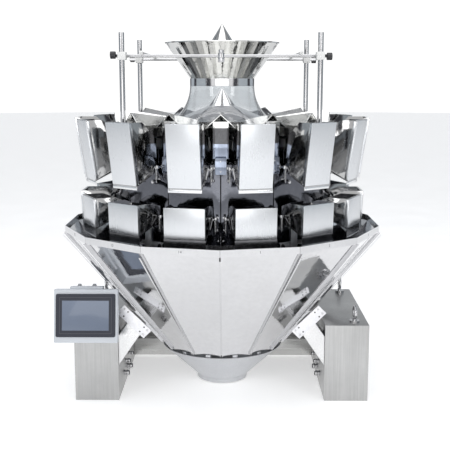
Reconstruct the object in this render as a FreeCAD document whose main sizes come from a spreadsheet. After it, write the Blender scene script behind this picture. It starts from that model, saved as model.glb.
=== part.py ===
"""Fourteen-head combination weigher: the machine that portions product above a form-fill-seal bagger.

Frame: +Z up, origin on the floor under the machine's axis, front towards -Y, right-hand side towards +X.
Every head is drawn once with its outward direction along +X and is then turned about Z into its place.
"""
import FreeCAD, Part
import math
import os
import re
import Sketcher

Vector = FreeCAD.Vector
Rotation = FreeCAD.Rotation

# Driving dimensions in millimetres (angles in degrees, heads as a count). Each is set by itself.
SIZES = {
    "heads": 14,
    # the two rings of buckets: how far out their backs stand, and how high the lower ring hangs
    "hopper_back": 446, "weigh_low_level": 687, "ring_gap": 66,
    # feed hoppers, the upper ring
    "feed_depth": 137, "feed_low_depth": 105, "feed_height": 224,
    "feed_width": 117, "feed_mouth": 66, "feed_back_drop": 62, "feed_back_rise": 50, "feed_lip": 14,
    # weigh hoppers, the lower ring
    "weigh_depth": 118, "weigh_low_depth": 114, "weigh_height": 111,
    "weigh_width": 146, "weigh_mouth": 80, "weigh_back_drop": 14, "weigh_back_rise": 48, "weigh_lip": 36,
    # what both rings share
    "hopper_wall": 2, "hanger_width": 40, "hanger_height": 24, "through": 60,
    "gate_sheet": 2, "gate_gap": 1.2, "gate_inset": 6, "gate_short": 1, "ear_gap": 1, "ear_reach": 46,
    "ear_back": 9, "ear_foot": 2, "ear_crown": 7, "ear_flat": 6,
    "pin_radius": 4, "pin_rise": 3, "pin_play": 0.08, "pin_stub": 5,
    # drive units, load cells and links behind the hoppers
    "drive_gap": 16, "drive_depth": 105, "drive_width": 104, "drive_drop": 42, "drive_rise": 71,
    "drive_wall": 4, "wing_drop": 3, "wing_sheet": 3, "wing_gap": 2,
    "cell_drop": 9, "cell_height": 36, "cell_width": 30, "cell_arm": 6, "cell_gap": 1,
    "link_radius": 5.5, "link_length": 32, "link_clear": 13.5, "link_rise": 12,
    "spring_radius": 6.5, "spring_length": 58,
    # central body
    "drum_drop": 10, "drum_step": 55, "drum_wall": 4, "lid_thickness": 10, "lid_margin": 4,
    "leg_reach": 300, "leg_width": 44, "leg_low": 292,
    # vibrating pans between the dispersion cone and the feed hoppers
    "pan_overhang": 54, "pan_inner_width": 70, "pan_outer_width": 98,
    "pan_rise": 8, "pan_depth": 32, "pan_sheet": 2, "pan_under_cone": 20,
    "coil_width": 56, "coil_inset": 12, "coil_air": 22, "leaf_sheet": 3, "leaf_clear": 10,
    "pan_to_coil": 55, "seat_plate": 8, "crown_plate": 6, "main_coil_radius": 85,
    "ridge_setback": 15, "ridge_gap": 2, "ridge_inner_height": 18, "ridge_outer_height": 49,
    "ridge_inner_width": 28, "ridge_outer_width": 108, "ridge_sheet": 3,
    "web_reach": 29, "web_length": 40, "web_clear": 5, "web_sheet": 4,
    "guard_width": 56, "guard_depth": 26, "guard_low": 6, "guard_bury": 22, "guard_sheet": 2,
    # dispersion cone, bell, collar, funnel and spike on the axis
    "cone_lift": 10, "cone_neck_radius": 52, "cone_neck_height": 58, "cone_height": 128,
    "cone_wall": 3, "cone_boss_radius": 20, "cone_boss_length": 12, "cone_boss_gap": 3,
    "bell_radius": 200, "bell_height": 134, "bell_wall": 3, "bell_rim": 6, "bell_rim_height": 3,
    "bell_over_cone": 10, "bell_foot_gap": 4, "bell_gap": 2,
    "collar_radius": 129, "collar_height": 29, "collar_wall": 5,
    "funnel_radius": 224, "funnel_height": 140, "funnel_wall": 2, "funnel_lip": 4, "funnel_step": 1,
    "spike_radius": 42, "spike_lift": 7, "spike_height": 67, "spike_waist": 25.2,
    "spike_waist_drop": 30, "spike_foot_drop": 60, "spike_stem": 7,
    "spoke_drop": 81, "spoke_height": 12, "spoke_width": 4, "spoke_turn": 30,
    # discharge chutes and outlet
    "rim_clear": 72, "rim_drop": 19, "chute_low_radius": 249.4, "chute_low": 166,
    "chute_wall": 2, "chute_band": 25, "chute_gap": 1, "chute_hem": 10,
    "outlet_clear": 2.4, "outlet_drop": 11, "outlet_radius": 104, "outlet_low": 4,
    "outlet_wall": 2, "outlet_neck": 14, "tab_width": 20, "tab_height": 18, "tab_sheet": 3.5,
    "tab_lap": 8,
    # infeed sensor frame
    "post_reach": 26.6, "post_bearing": 40.19, "post_radius": 10, "post_rise": 83,
    "foot_height": 12, "foot_width": 16, "foot_lap": 35,
    "rail_drop": 59, "rail_radius": 6, "rail_offset": 24, "rail_overhang": 42,
    "bar_inset": 68, "bar_radius": 5, "clamp_wide": 30, "clamp_deep": 50, "clamp_high": 30,
    "post_play": 0.1, "rail_play": 0.05, "knob_radius": 12, "lobe_radius": 5, "knob_length": 20,
    "knob_stem": 7, "knob_gap": 0.4, "stem_radius": 5, "sensor_radius": 12, "sensor_length": 46,
    # base
    "base_inner": 400, "base_width": 170, "base_half_depth": 290, "base_height": 304, "base_wall": 4,
    "anchor_hole_radius": 6.5, "anchor_across": 90, "anchor_along": 480,
    "arm_inset": 6, "arm_width": 80, "arm_low": 140, "arm_side_top": 258,
    "arm_end_level": 288, "arm_end_height": 48, "arm_gap": 3, "arm_top_gap": 4,
    "beam_depth": 42, "beam_low": 6, "beam_top": 84, "back_panel_top": 190, "back_panel_sheet": 3,
    "eye_inset": 51, "eye_along": 480, "eye_collar": 19.5, "eye_collar_height": 8, "eye_neck_radius": 7.8,
    "eye_neck_height": 10, "eye_bury": 6, "eye_ring": 22, "eye_wire": 6,
    "plug_radius": 12, "plug_length": 22,
    "plate_length": 145, "plate_width": 44, "plate_sheet": 4, "plate_out": 15, "plate_up": 5,
    "plate_turn": 45,
    # operator panel
    "panel_aside": 24, "panel_forward": 95, "panel_level": 262, "panel_tilt": 11.4,
    "panel_width": 240, "panel_height": 202, "panel_thickness": 40, "bezel_width": 224, "bezel_height": 162,
    "bezel_thickness": 6, "bezel_lift": 22, "display_width": 176, "display_height": 112,
    "display_recess": 2, "panel_bracket_width": 70, "panel_bracket_low": 8, "panel_bracket_top": 36,
    "panel_bracket_gusset": 20, "panel_wall": 2,
}

# Sizes that follow from those above, because the pieces stand on, hang from or clear one another.
FITTED = {
    "weigh_top_radius": "hopper_back + weigh_depth", "weigh_low_radius": "hopper_back + weigh_low_depth",
    "weigh_top_level": "weigh_low_level + weigh_height",
    "weigh_back_top": "weigh_top_level - weigh_back_drop",
    "weigh_back_low": "weigh_low_level + weigh_back_rise",
    "feed_top_radius": "hopper_back + feed_depth", "feed_low_radius": "hopper_back + feed_low_depth",
    "feed_low_level": "weigh_top_level + ring_gap", "feed_top_level": "feed_low_level + feed_height",
    "feed_back_top": "feed_top_level - feed_back_drop", "feed_back_low": "feed_low_level + feed_back_rise",
    "drive_front": "hopper_back - drive_gap", "drive_back": "drive_front - drive_depth",
    "drive_low": "weigh_low_level - drive_drop", "drive_top": "feed_back_low + drive_rise",
    "wing_top": "drum_top + lid_thickness - wing_drop",
    "wing_width": "2 * (drive_front - wing_sheet) * tan(180 / heads) - wing_gap / cos(180 / heads)",
    "cell_low": "drive_low - cell_height - cell_drop",
    "drum_low": "cell_low - drum_drop", "drum_top": "drive_top - drum_step",
    "pan_floor": "feed_back_top + pan_rise", "pan_outer": "hopper_back + pan_overhang",
    "bell_bend": "((bell_radius - collar_radius)^2 + bell_height^2) / (2 * (bell_radius - collar_radius))",
    "bell_foot_radius": "collar_radius + bell_bend - sqrt((bell_bend + bell_wall)^2 - bell_height^2)",
    "cone_radius": "min(bell_radius - bell_over_cone; bell_foot_radius - bell_foot_gap)",
    "pan_inner": "cone_radius - pan_under_cone",
    "cone_edge_level": "pan_floor + pan_depth + cone_lift",
    "cone_neck_level": "cone_edge_level + cone_neck_height",
    "cone_tip_level": "cone_edge_level + cone_height",
    "coil_inner": "pan_inner + pan_to_coil", "coil_outer": "drive_back - leaf_clear",
    "ridge_inner": "bell_radius + bell_rim", "ridge_outer": "hopper_back - ridge_setback",
    "web_inner": "ridge_inner + web_reach",
    "ridge_base": "pan_floor + pan_depth + ridge_gap",
    "ridge_inner_peak": "ridge_base + ridge_inner_height",
    "ridge_outer_peak": "ridge_base + ridge_outer_height",
    "bell_low": "cone_edge_level + bell_gap", "collar_low": "bell_low + bell_height",
    "collar_top": "collar_low + collar_height", "funnel_top": "collar_top + funnel_height",
    "spike_base": "funnel_top + spike_lift", "spike_tip": "spike_base + spike_height",
    "spoke_level": "funnel_top - spoke_drop",
    "chute_top_radius": "hopper_back + weigh_depth + rim_clear",
    "chute_top": "weigh_low_level - rim_drop", "chute_bend": "chute_top - chute_band",
    "chute_spread": "(chute_top_radius - chute_low_radius) / (chute_bend - chute_low)",
    "outlet_rim_radius": "chute_low_radius - outlet_clear", "outlet_rim": "chute_low - outlet_drop",
    "post_across": "2 * (hopper_back + post_reach) * cos(post_bearing)",
    "post_along": "2 * (hopper_back + post_reach) * sin(post_bearing)",
    "foot_inner": "drive_back - foot_lap",
    "web_outer": "min(web_inner + web_length; foot_inner - web_clear)",
    "rail_level": "funnel_top - rail_drop", "post_top": "rail_level + post_rise",
    "bar_across": "post_across - 2 * bar_inset",
    "base_outer": "base_inner + base_width",
    "arm_outer_y": "base_half_depth - arm_inset", "arm_inner_y": "arm_outer_y - arm_width",
    "arm_end_top_level": "arm_end_level + arm_end_height",
    "arm_end_x": "sqrt((chute_low_radius + (arm_end_level - chute_low) * chute_spread + chute_hem"
                 " + arm_gap)^2 - arm_inner_y^2)",
    "arm_end_top_x": "sqrt((chute_low_radius + (arm_end_top_level - chute_low) * chute_spread + chute_hem"
                     " + arm_top_gap)^2 - arm_inner_y^2)",
    "plate_x": "(arm_end_x + arm_end_top_x) / 2 + plate_out",
    "plate_level": "(arm_end_level + arm_end_top_level) / 2 + plate_up",
    "eye_across": "2 * (base_outer - eye_inset)",
    "panel_x": "-((base_inner + base_outer) / 2 + panel_aside)",
    "panel_y": "-(base_half_depth + panel_forward)",
}

doc = FreeCAD.newDocument("combination_weigher")
sheet = doc.addObject("Spreadsheet::Sheet", "sizes")
cells = [(alias, str(number)) for alias, number in SIZES.items()]
cells += [(alias, "=" + text) for alias, text in FITTED.items()]
for row, (alias, content) in enumerate(cells, start=1):
    sheet.set("A%d" % row, alias)
    sheet.set("B%d" % row, content)
    sheet.setAlias("B%d" % row, alias)
doc.recompute()
ALIASES = {alias for alias, content in cells}

parts = []


# ---------------------------------------------------------------- shared drawing steps

def bound(text):
    """An expression written with bare size names, as the document wants it."""
    return re.sub(r"[a-z][a-z_]*", lambda word: "sizes." + word.group() if word.group() in ALIASES
                  else word.group(), str(text))


def size(alias):
    """The number a size name stands for now."""
    return float(sheet.get(alias))


def keep(item, label):
    """Name a finished sub-part and put it on the list of what is written out."""
    item.Label = label
    parts.append(item)
    return item


def bind(item, **expressions):
    """Bind properties of an item to the sheet."""
    for name, text in expressions.items():
        item.setExpression(name, bound(text))
    return item


def turned(item, angle):
    """Turn an item about Z by an angle bound to the sheet."""
    item.Placement = FreeCAD.Placement(Vector(0, 0, 0), Rotation(Vector(0, 0, 1), 1))
    item.setExpression("Placement.Rotation.Angle", bound(angle))
    return item


def origin_plane(body, role):
    return [feature for feature in body.Origin.OriginFeatures if feature.Role == role][0]


def new_body(name):
    return doc.addObject("PartDesign::Body", name)


def new_sketch(body, role, offset="0"):
    sketch = body.newObject("Sketcher::SketchObject", "outline")
    sketch.AttachmentSupport = [(origin_plane(body, role), "")]
    sketch.MapMode = "FlatFace"
    sketch.setExpression("AttachmentOffset.Base.z", bound(offset))
    return sketch


def outline(body, role, corners, offset="0"):
    """A closed outline of straight edges whose corners are all bound to the sheet."""
    sketch = new_sketch(body, role, offset)
    count = len(corners)
    start = [Vector(100 * math.cos(2 * math.pi * n / count), 100 * math.sin(2 * math.pi * n / count), 0)
             for n in range(count)]
    sketch.addGeometry([Part.LineSegment(start[n], start[(n + 1) % count]) for n in range(count)])
    for n in range(count):
        sketch.addConstraint(Sketcher.Constraint("Coincident", n, 2, (n + 1) % count, 1))
    for n, (across, up) in enumerate(corners):
        for kind, text, value in (("DistanceX", across, start[n].x), ("DistanceY", up, start[n].y)):
            index = sketch.addConstraint(Sketcher.Constraint(kind, -1, 1, n, 1, value))
            sketch.setExpression("Constraints[%d]" % index, bound(text))
    return sketch


def circle(body, role, across, up, radius, offset="0"):
    """A circle whose centre and radius are bound to the sheet."""
    sketch = new_sketch(body, role, offset)
    sketch.addGeometry(Part.Circle(Vector(50, 50, 0), Vector(0, 0, 1), 10))
    for kind, text in (("DistanceX", across), ("DistanceY", up)):
        index = sketch.addConstraint(Sketcher.Constraint(kind, -1, 1, 0, 3, 50))
        sketch.setExpression("Constraints[%d]" % index, bound(text))
    index = sketch.addConstraint(Sketcher.Constraint("Radius", 0, 10))
    sketch.setExpression("Constraints[%d]" % index, bound(radius))
    return sketch


def extrude(body, kind, sketch, length, side="Symmetric"):
    """A Pad or a Pocket of a sketch."""
    feature = body.newObject("PartDesign::" + kind, kind.lower())
    feature.Profile = sketch
    feature.SideType = side
    feature.setExpression("Length", bound(length))
    return feature


def pad(body, sketch, length, side="Symmetric"):
    return extrude(body, "Pad", sketch, length, side)


def pocket(body, sketch, length, side="Symmetric"):
    return extrude(body, "Pocket", sketch, length, side)


def revolve(body, sketch):
    feature = body.newObject("PartDesign::Revolution", "revolution")
    feature.Profile = sketch
    feature.ReferenceAxis = (origin_plane(body, "Z_Axis"), [""])
    feature.Angle = 360
    return feature


def loft(body, first, second):
    feature = body.newObject("PartDesign::AdditiveLoft", "loft")
    feature.Profile = first
    feature.Sections = [second]
    feature.Ruled = True
    return feature


def around(body, count="heads"):
    """Repeat the whole body evenly about the machine's axis."""
    doc.recompute()
    pattern = body.newObject("PartDesign::PolarPattern", "ring")
    pattern.TransformMode = "Whole shape"
    pattern.Axis = (origin_plane(body, "Z_Axis"), [""])
    pattern.Angle = 360
    pattern.setExpression("Occurrences", bound(count))
    body.Tip = pattern
    return pattern


def mirrored(body, role):
    """Repeat the whole body on the other side of one of its origin planes."""
    doc.recompute()
    mirror = body.newObject("PartDesign::Mirrored", "mirror")
    mirror.TransformMode = "Whole shape"
    mirror.MirrorPlane = (origin_plane(body, role), [""])
    body.Tip = mirror
    return mirror


def rectangle(low_x, low_y, high_x, high_y):
    return [(low_x, low_y), (high_x, low_y), (high_x, high_y), (low_x, high_y)]


def block(low, high):
    """A Part box from one corner to the other, both bound to the sheet."""
    box = doc.addObject("Part::Box", "block")
    for side, axis, a, b in zip(("Length", "Width", "Height"), "xyz", low, high):
        box.setExpression(side, bound("(%s) - (%s)" % (b, a)))
        box.setExpression("Placement.Base." + axis, bound(a))
    return box


def rod(radius, length, start, direction):
    """A Part cylinder from a start point along a direction."""
    cylinder = doc.addObject("Part::Cylinder", "rod")
    cylinder.Placement = FreeCAD.Placement(Vector(1, 1, 1), Rotation(Vector(0, 0, 1), direction))
    bind(cylinder, Radius=radius, Height=length)
    for axis, text in zip("xyz", start):
        cylinder.setExpression("Placement.Base." + axis, bound(text))
    return cylinder


def join(items):
    fuse = doc.addObject("Part::MultiFuse", "joined")
    fuse.Shapes = items
    return fuse


def cut(base, tool):
    result = doc.addObject("Part::Cut", "cut")
    result.Base = base
    result.Tool = tool
    return result


def group(items):
    compound = doc.addObject("Part::Compound", "group")
    compound.Links = items
    return compound


def reflected(item, normal):
    mirror = doc.addObject("Part::Mirroring", "reflection")
    mirror.Source = item
    mirror.Normal = normal
    mirror.Base = Vector(0, 0, 0)
    return mirror


def both_sides(item):
    return group([item, reflected(item, Vector(1, 0, 0))])


def four_corners(item):
    front = both_sides(item)
    return group([front, reflected(front, Vector(0, 1, 0))])


HEAD_TURN = "(%g + 0.5) * 360 / heads - 90"
SEAM_TURN = "%g * 360 / heads - 90"


# ---------------------------------------------------------------- hoppers and their gates

def pivot(ring):
    """Where a hopper's gate pin lies in the head's own plane."""
    return "hopper_back + pin_radius", ring + "_back_low + pin_radius + pin_rise"


def floor_height(ring, across):
    """Height of a hopper's open underside at a given radius."""
    return ("({0}_back_low + (({1}) - hopper_back) * ({0}_low_level - {0}_back_low)"
            " / ({0}_low_radius - hopper_back))").format(ring, across)


def hoppers(ring, hanger_front):
    """A ring of welded sheet buckets, open above and below, each with two gate pins and a hanger."""
    body = new_body(ring + "_hoppers")
    side = [("hopper_back", ring + "_back_low"), (ring + "_low_radius", ring + "_low_level"),
            (ring + "_top_radius", ring + "_top_level"),
            (ring + "_top_radius - " + ring + "_mouth", ring + "_top_level"),
            ("hopper_back", ring + "_back_top")]
    pad(body, outline(body, "XZ_Plane", side), ring + "_width")
    across, up = pivot(ring)
    pad(body, circle(body, "XZ_Plane", across, up, "pin_radius"), ring + "_width + 2 * pin_stub")
    lean = "({0}_top_radius - {0}_low_radius) / ({0}_top_level - {0}_low_level)".format(ring)
    inside = [("hopper_back + hopper_wall", ring + "_low_level - through"),
              ("%s_low_radius - hopper_wall - through * %s" % (ring, lean), ring + "_low_level - through"),
              ("%s_top_radius - hopper_wall + through * %s" % (ring, lean), ring + "_top_level + through"),
              ("hopper_back + hopper_wall", ring + "_top_level + through")]
    pocket(body, outline(body, "XZ_Plane", inside), ring + "_width - 2 * hopper_wall")
    middle = "({0}_back_low + {0}_back_top) / 2".format(ring)
    hanger = rectangle(hanger_front, middle + " - hanger_height / 2",
                       "hopper_back", middle + " + hanger_height / 2")
    pad(body, outline(body, "XZ_Plane", hanger), "hanger_width")
    around(body)
    return keep(turned(body, HEAD_TURN % 0), ring + "_hoppers")


def gate(ring, head):
    """One discharge gate: a bent plate under the bucket, with an ear at each side on the gate pin."""
    body = new_body("%s_gate_%02d" % (ring, head + 1))
    across, up = pivot(ring)
    start = "hopper_back + gate_inset"
    end = ring + "_low_radius - gate_short"
    web = "hopper_back + ear_reach"
    slope = "({0}_back_rise / {0}_low_depth)".format(ring)
    under = "gate_sheet * sqrt(1 + %s^2)" % slope
    start_up = floor_height(ring, start) + " - gate_gap"
    web_up = floor_height(ring, web) + " - gate_gap"
    end_up = floor_height(ring, end) + " - gate_gap"
    corner_up = floor_height(ring, end + " - gate_sheet") + " - gate_gap - " + under
    ear = [(across + " - ear_back", up + " - ear_foot"), (across + " - ear_flat", up + " + ear_crown"),
           (across + " + ear_flat", up + " + ear_crown"), (web, web_up), (web, web_up + " - " + under),
           (start, start_up + " - " + under)]
    pad(body, outline(body, "XZ_Plane", ear), "%s_width + 2 * ear_gap + 2 * gate_sheet" % ring)
    clear = rectangle("hopper_back - through", ring + "_low_level - through", ring + "_low_radius",
                      up + " + through")
    pocket(body, outline(body, "XZ_Plane", clear), ring + "_width + 2 * ear_gap")
    pocket(body, circle(body, "XZ_Plane", across, up, "pin_radius + pin_play"), ring + "_width * 2")
    plate = [(start, start_up), (end, end_up), (end, end_up + " - %s_lip" % ring),
             (end + " - gate_sheet", end_up + " - %s_lip" % ring), (end + " - gate_sheet", corner_up),
             (start, start_up + " - " + under)]
    pad(body, outline(body, "XZ_Plane", plate), "%s_width + 2 * ear_gap + 2 * gate_sheet" % ring)
    return keep(turned(body, HEAD_TURN % head), body.Name)


hoppers("feed", "drive_front")
hoppers("weigh", "drive_front + cell_gap + cell_arm")
for ring_name in ("feed", "weigh"):
    for number in range(SIZES["heads"]):
        gate(ring_name, number)


# ---------------------------------------------------------------- drives, load cells and links

def drive_units():
    """Motor housings, one behind each pair of hoppers, with a splash plate that meets its neighbours."""
    body = new_body("drive_units")
    housing = rectangle("drive_back", "drive_low", "drive_front", "drive_top")
    pad(body, outline(body, "XZ_Plane", housing), "drive_width")
    wings = rectangle("drive_front - wing_sheet", "drive_low", "drive_front", "wing_top")
    pad(body, outline(body, "XZ_Plane", wings), "wing_width")
    hollow = rectangle("drive_back + drive_wall", "drive_low + drive_wall", "drive_front - drive_wall",
                       "drive_top - drive_wall")
    pocket(body, outline(body, "XZ_Plane", hollow), "drive_width - 2 * drive_wall")
    around(body)
    return keep(turned(body, HEAD_TURN % 0), "drive_units")


def load_cells():
    """Bar load cells under the drives; each carries an upright arm that the weigh hopper hangs on."""
    body = new_body("load_cells")
    bar = rectangle("drive_back", "cell_low", "drive_front + cell_gap + cell_arm", "cell_low + cell_height")
    pad(body, outline(body, "XZ_Plane", bar), "cell_width")
    arm = rectangle("drive_front + cell_gap", "cell_low", "drive_front + cell_gap + cell_arm",
                    "(weigh_back_low + weigh_back_top) / 2 + hanger_height / 2")
    pad(body, outline(body, "XZ_Plane", arm), "cell_width")
    around(body)
    return keep(turned(body, HEAD_TURN % 0), "load_cells")


def gate_links():
    """Push rods and closing springs beside every gate, two to a bucket."""
    body = new_body("gate_links")
    for ring in ("feed", "weigh"):
        aside = "(%s_width / 2 + link_clear)" % ring
        level = ring + "_back_low + link_rise"
        tip = "drive_front + link_length"
        for side in ("", "-"):
            pad(body, circle(body, "YZ_Plane", side + aside, level, "link_radius", "drive_front"),
                "link_length", "One side")
            feature = pad(body, circle(body, "XY_Plane", tip, side + aside, "spring_radius", level),
                          "spring_length", "One side")
            feature.Reversed = True
    around(body)
    return keep(turned(body, HEAD_TURN % 0), "gate_links")


drive_units()
load_cells()
gate_links()


# ---------------------------------------------------------------- central body

def body_drum():
    """A drum with one flat for every drive, on four legs that stand in the chute ring."""
    shells = []
    for name, across, low, high in (("outer", "drive_back", "drum_low", "drum_top"),
                                    ("inner", "drive_back - drum_wall", "drum_low + drum_wall",
                                     "drum_top - drum_wall")):
        prism = doc.addObject("Part::Prism", name)
        bind(prism, Polygon="heads", Circumradius="(%s) / cos(180 / heads)" % across,
             Height="(%s) - (%s)" % (high, low))
        prism.setExpression("Placement.Base.z", bound(low))
        shells.append(prism)
    drum = turned(cut(*shells), SEAM_TURN % 0)
    reach = "leg_reach / sqrt(2)"
    leg = block((reach + " - leg_width", reach + " - leg_width", "leg_low"), (reach, reach, "drum_low"))
    legs = four_corners(leg)
    return keep(join([drum, legs]), "body_drum")


def body_lid():
    lid = rod("drive_back - lid_margin", "lid_thickness", ("0", "0", "drum_top"), Vector(0, 0, 1))
    return keep(lid, "body_lid")


def vibrators():
    """The central electromagnet and one under each pan, with a pair of leaf springs on every pan's."""
    lid_top = "(drum_top + lid_thickness)"
    body = new_body("pan_vibrators")
    coil = rectangle("coil_inner + coil_inset", lid_top, "coil_outer - coil_inset", "pan_floor - coil_air")
    pad(body, outline(body, "XZ_Plane", coil), "coil_width")
    for start in ("coil_inner", "coil_outer - leaf_sheet"):
        leaf = rectangle(start, lid_top, start + " + leaf_sheet", "pan_floor - crown_plate")
        pad(body, outline(body, "XZ_Plane", leaf), "coil_width")
    for low, high in ((lid_top, lid_top + " + seat_plate"), ("pan_floor - crown_plate", "pan_floor")):
        plate = rectangle("coil_inner", low, "coil_outer", high)
        pad(body, outline(body, "XZ_Plane", plate), "coil_width")
    around(body)
    turned(body, HEAD_TURN % 0)
    top = "cone_edge_level - cone_wall - cone_boss_length - cone_boss_gap"
    main = rod("main_coil_radius", "%s - %s" % (top, lid_top), ("0", "0", lid_top), Vector(0, 0, 1))
    return keep(group([body, main]), "vibrators")


def feeder_pans():
    """Open troughs that walk the product out to the feed hoppers."""
    body = new_body("feeder_pans")
    half_in = "pan_inner_width / 2"
    half_out = "pan_outer_width / 2"
    trough = [("pan_inner", "-" + half_in), ("pan_outer", "-" + half_out), ("pan_outer", half_out),
              ("pan_inner", half_in)]
    pad(body, outline(body, "XY_Plane", trough, "pan_floor"), "pan_depth", "One side")
    flare = "((pan_outer_width - pan_inner_width) / 2 / (pan_outer - pan_inner))"
    far = "%s - pan_sheet + through * %s" % (half_out, flare)
    near = "%s - pan_sheet" % half_in
    inside = [("pan_inner + pan_sheet", "-(%s)" % near), ("pan_outer + through", "-(%s)" % far),
              ("pan_outer + through", far), ("pan_inner + pan_sheet", near)]
    hollow = pocket(body, outline(body, "XY_Plane", inside, "pan_floor + pan_sheet"), "pan_depth", "One side")
    hollow.Reversed = True
    around(body)
    return keep(turned(body, HEAD_TURN % 0), "feeder_pans")


def pan_dividers():
    """Folded ridges that shed product into the pans on either side, each on an upright web inside and
    with a box guard under its outer end."""
    body = new_body("pan_dividers")

    def ridge(radius, width, peak):
        half = width + " / 2"
        fold = "ridge_sheet * 1.6"
        points = [("-" + half, "ridge_base"), ("0", peak), (half, "ridge_base"),
                  (half + " - " + fold, "ridge_base"), ("0", peak + " - " + fold),
                  ("-(%s - %s)" % (half, fold), "ridge_base")]
        return outline(body, "YZ_Plane", points, radius)

    loft(body, ridge("ridge_inner", "ridge_inner_width", "ridge_inner_peak"),
         ridge("ridge_outer", "ridge_outer_width", "ridge_outer_peak"))
    web = rectangle("web_inner", "drum_top + lid_thickness", "web_outer", "ridge_inner_peak")
    pad(body, outline(body, "XZ_Plane", web), "web_sheet")
    guard_top = "ridge_outer_peak - ridge_sheet * 1.6 - guard_bury"
    guard_foot = "drum_top + lid_thickness + foot_height + guard_low"
    guard = rectangle("ridge_outer - guard_depth", guard_foot, "ridge_outer", guard_top)
    pad(body, outline(body, "XZ_Plane", guard), "guard_width")
    hollow = rectangle("ridge_outer - guard_depth + guard_sheet", guard_foot + " + guard_sheet",
                       "ridge_outer - guard_sheet", guard_top + " - guard_sheet")
    pocket(body, outline(body, "XZ_Plane", hollow), "guard_width - 2 * guard_sheet")
    around(body)
    return keep(turned(body, SEAM_TURN % 0), "pan_dividers")


body_drum()
body_lid()
vibrators()
feeder_pans()
pan_dividers()


# ---------------------------------------------------------------- pieces turned about the axis

def turned_piece(label, corners):
    body = new_body(label)
    revolve(body, outline(body, "XZ_Plane", corners))
    return keep(body, label)


def dispersion_cone():
    """Spun cone that spreads the product; its boss stands on the central vibrator."""
    boss_low = "cone_edge_level - cone_wall - cone_boss_length"
    turned_piece("dispersion_cone", [
        ("0", "cone_tip_level"), ("cone_neck_radius", "cone_neck_level"),
        ("cone_radius", "cone_edge_level"), ("cone_radius", "cone_edge_level - cone_wall"),
        ("cone_neck_radius - cone_wall", "cone_neck_level - cone_wall"),
        ("cone_boss_radius", "cone_neck_level - cone_wall"), ("cone_boss_radius", boss_low), ("0", boss_low)])


def bell_skirt():
    """Clear hood whose wall is one arc, upright at the collar and flaring to the rim."""
    body = new_body("bell_skirt")
    flare = size("bell_radius") - size("collar_radius")
    drop = size("bell_height")
    sweep = (flare ** 2 + drop ** 2) / (2.0 * flare)
    centre = Vector(size("collar_radius") + sweep, size("collar_low"), 0)
    sketch = new_sketch(body, "XZ_Plane")
    ends = []
    for radius in (sweep, sweep + size("bell_wall")):
        arc = Part.ArcOfCircle(Part.Circle(centre, Vector(0, 0, 1), radius), math.pi,
                               math.pi + math.asin(drop / radius))
        sketch.addGeometry(arc)
        ends.append((arc.StartPoint, arc.EndPoint))
    sketch.addGeometry(Part.LineSegment(ends[0][0], ends[1][0]))
    rim = [ends[0][1], ends[0][1] + Vector(size("bell_rim"), 0, 0)]
    foot = [Vector(rim[1].x, size("bell_low") - size("bell_rim_height"), 0),
            Vector(ends[1][1].x, size("bell_low") - size("bell_rim_height"), 0)]
    for start, end in ((rim[0], rim[1]), (rim[1], foot[0]), (foot[0], foot[1]), (foot[1], ends[1][1])):
        sketch.addGeometry(Part.LineSegment(start, end))
    for first, second in (((0, 1), (2, 1)), ((1, 1), (2, 2)), ((0, 2), (3, 1)), ((3, 2), (4, 1)),
                          ((4, 2), (5, 1)), ((5, 2), (6, 1)), ((6, 2), (1, 2))):
        sketch.addConstraint(Sketcher.Constraint("Coincident", *first, *second))
    sketch.addConstraint(Sketcher.Constraint("Coincident", 0, 3, 1, 3))
    whole = "((bell_radius - collar_radius)^2 + bell_height^2) / (2 * (bell_radius - collar_radius))"
    dimensions = [("DistanceX", (-1, 1, 0, 3), centre.x, "collar_radius + " + whole),
                  ("DistanceY", (-1, 1, 0, 3), centre.y, "collar_low"),
                  ("Radius", (0,), sweep, whole),
                  ("Radius", (1,), sweep + size("bell_wall"), whole + " + bell_wall"),
                  ("DistanceY", (-1, 1, 0, 1), ends[0][0].y, "collar_low"),
                  ("DistanceY", (-1, 1, 1, 1), ends[1][0].y, "collar_low"),
                  ("DistanceY", (-1, 1, 0, 2), ends[0][1].y, "bell_low"),
                  ("DistanceY", (-1, 1, 1, 2), ends[1][1].y, "bell_low"),
                  ("DistanceX", (-1, 1, 3, 2), rim[1].x, "bell_radius + bell_rim"),
                  ("DistanceY", (-1, 1, 3, 2), rim[1].y, "bell_low"),
                  ("DistanceX", (-1, 1, 4, 2), rim[1].x, "bell_radius + bell_rim"),
                  ("DistanceY", (-1, 1, 4, 2), foot[0].y, "bell_low - bell_rim_height"),
                  ("DistanceY", (-1, 1, 5, 2), foot[1].y, "bell_low - bell_rim_height")]
    for kind, where, value, text in dimensions:
        index = sketch.addConstraint(Sketcher.Constraint(kind, *where, value))
        sketch.setExpression("Constraints[%d]" % index, bound(text))
    sketch.addConstraint(Sketcher.Constraint("Vertical", 6))
    revolve(body, sketch)
    return keep(body, "bell_skirt")


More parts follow.
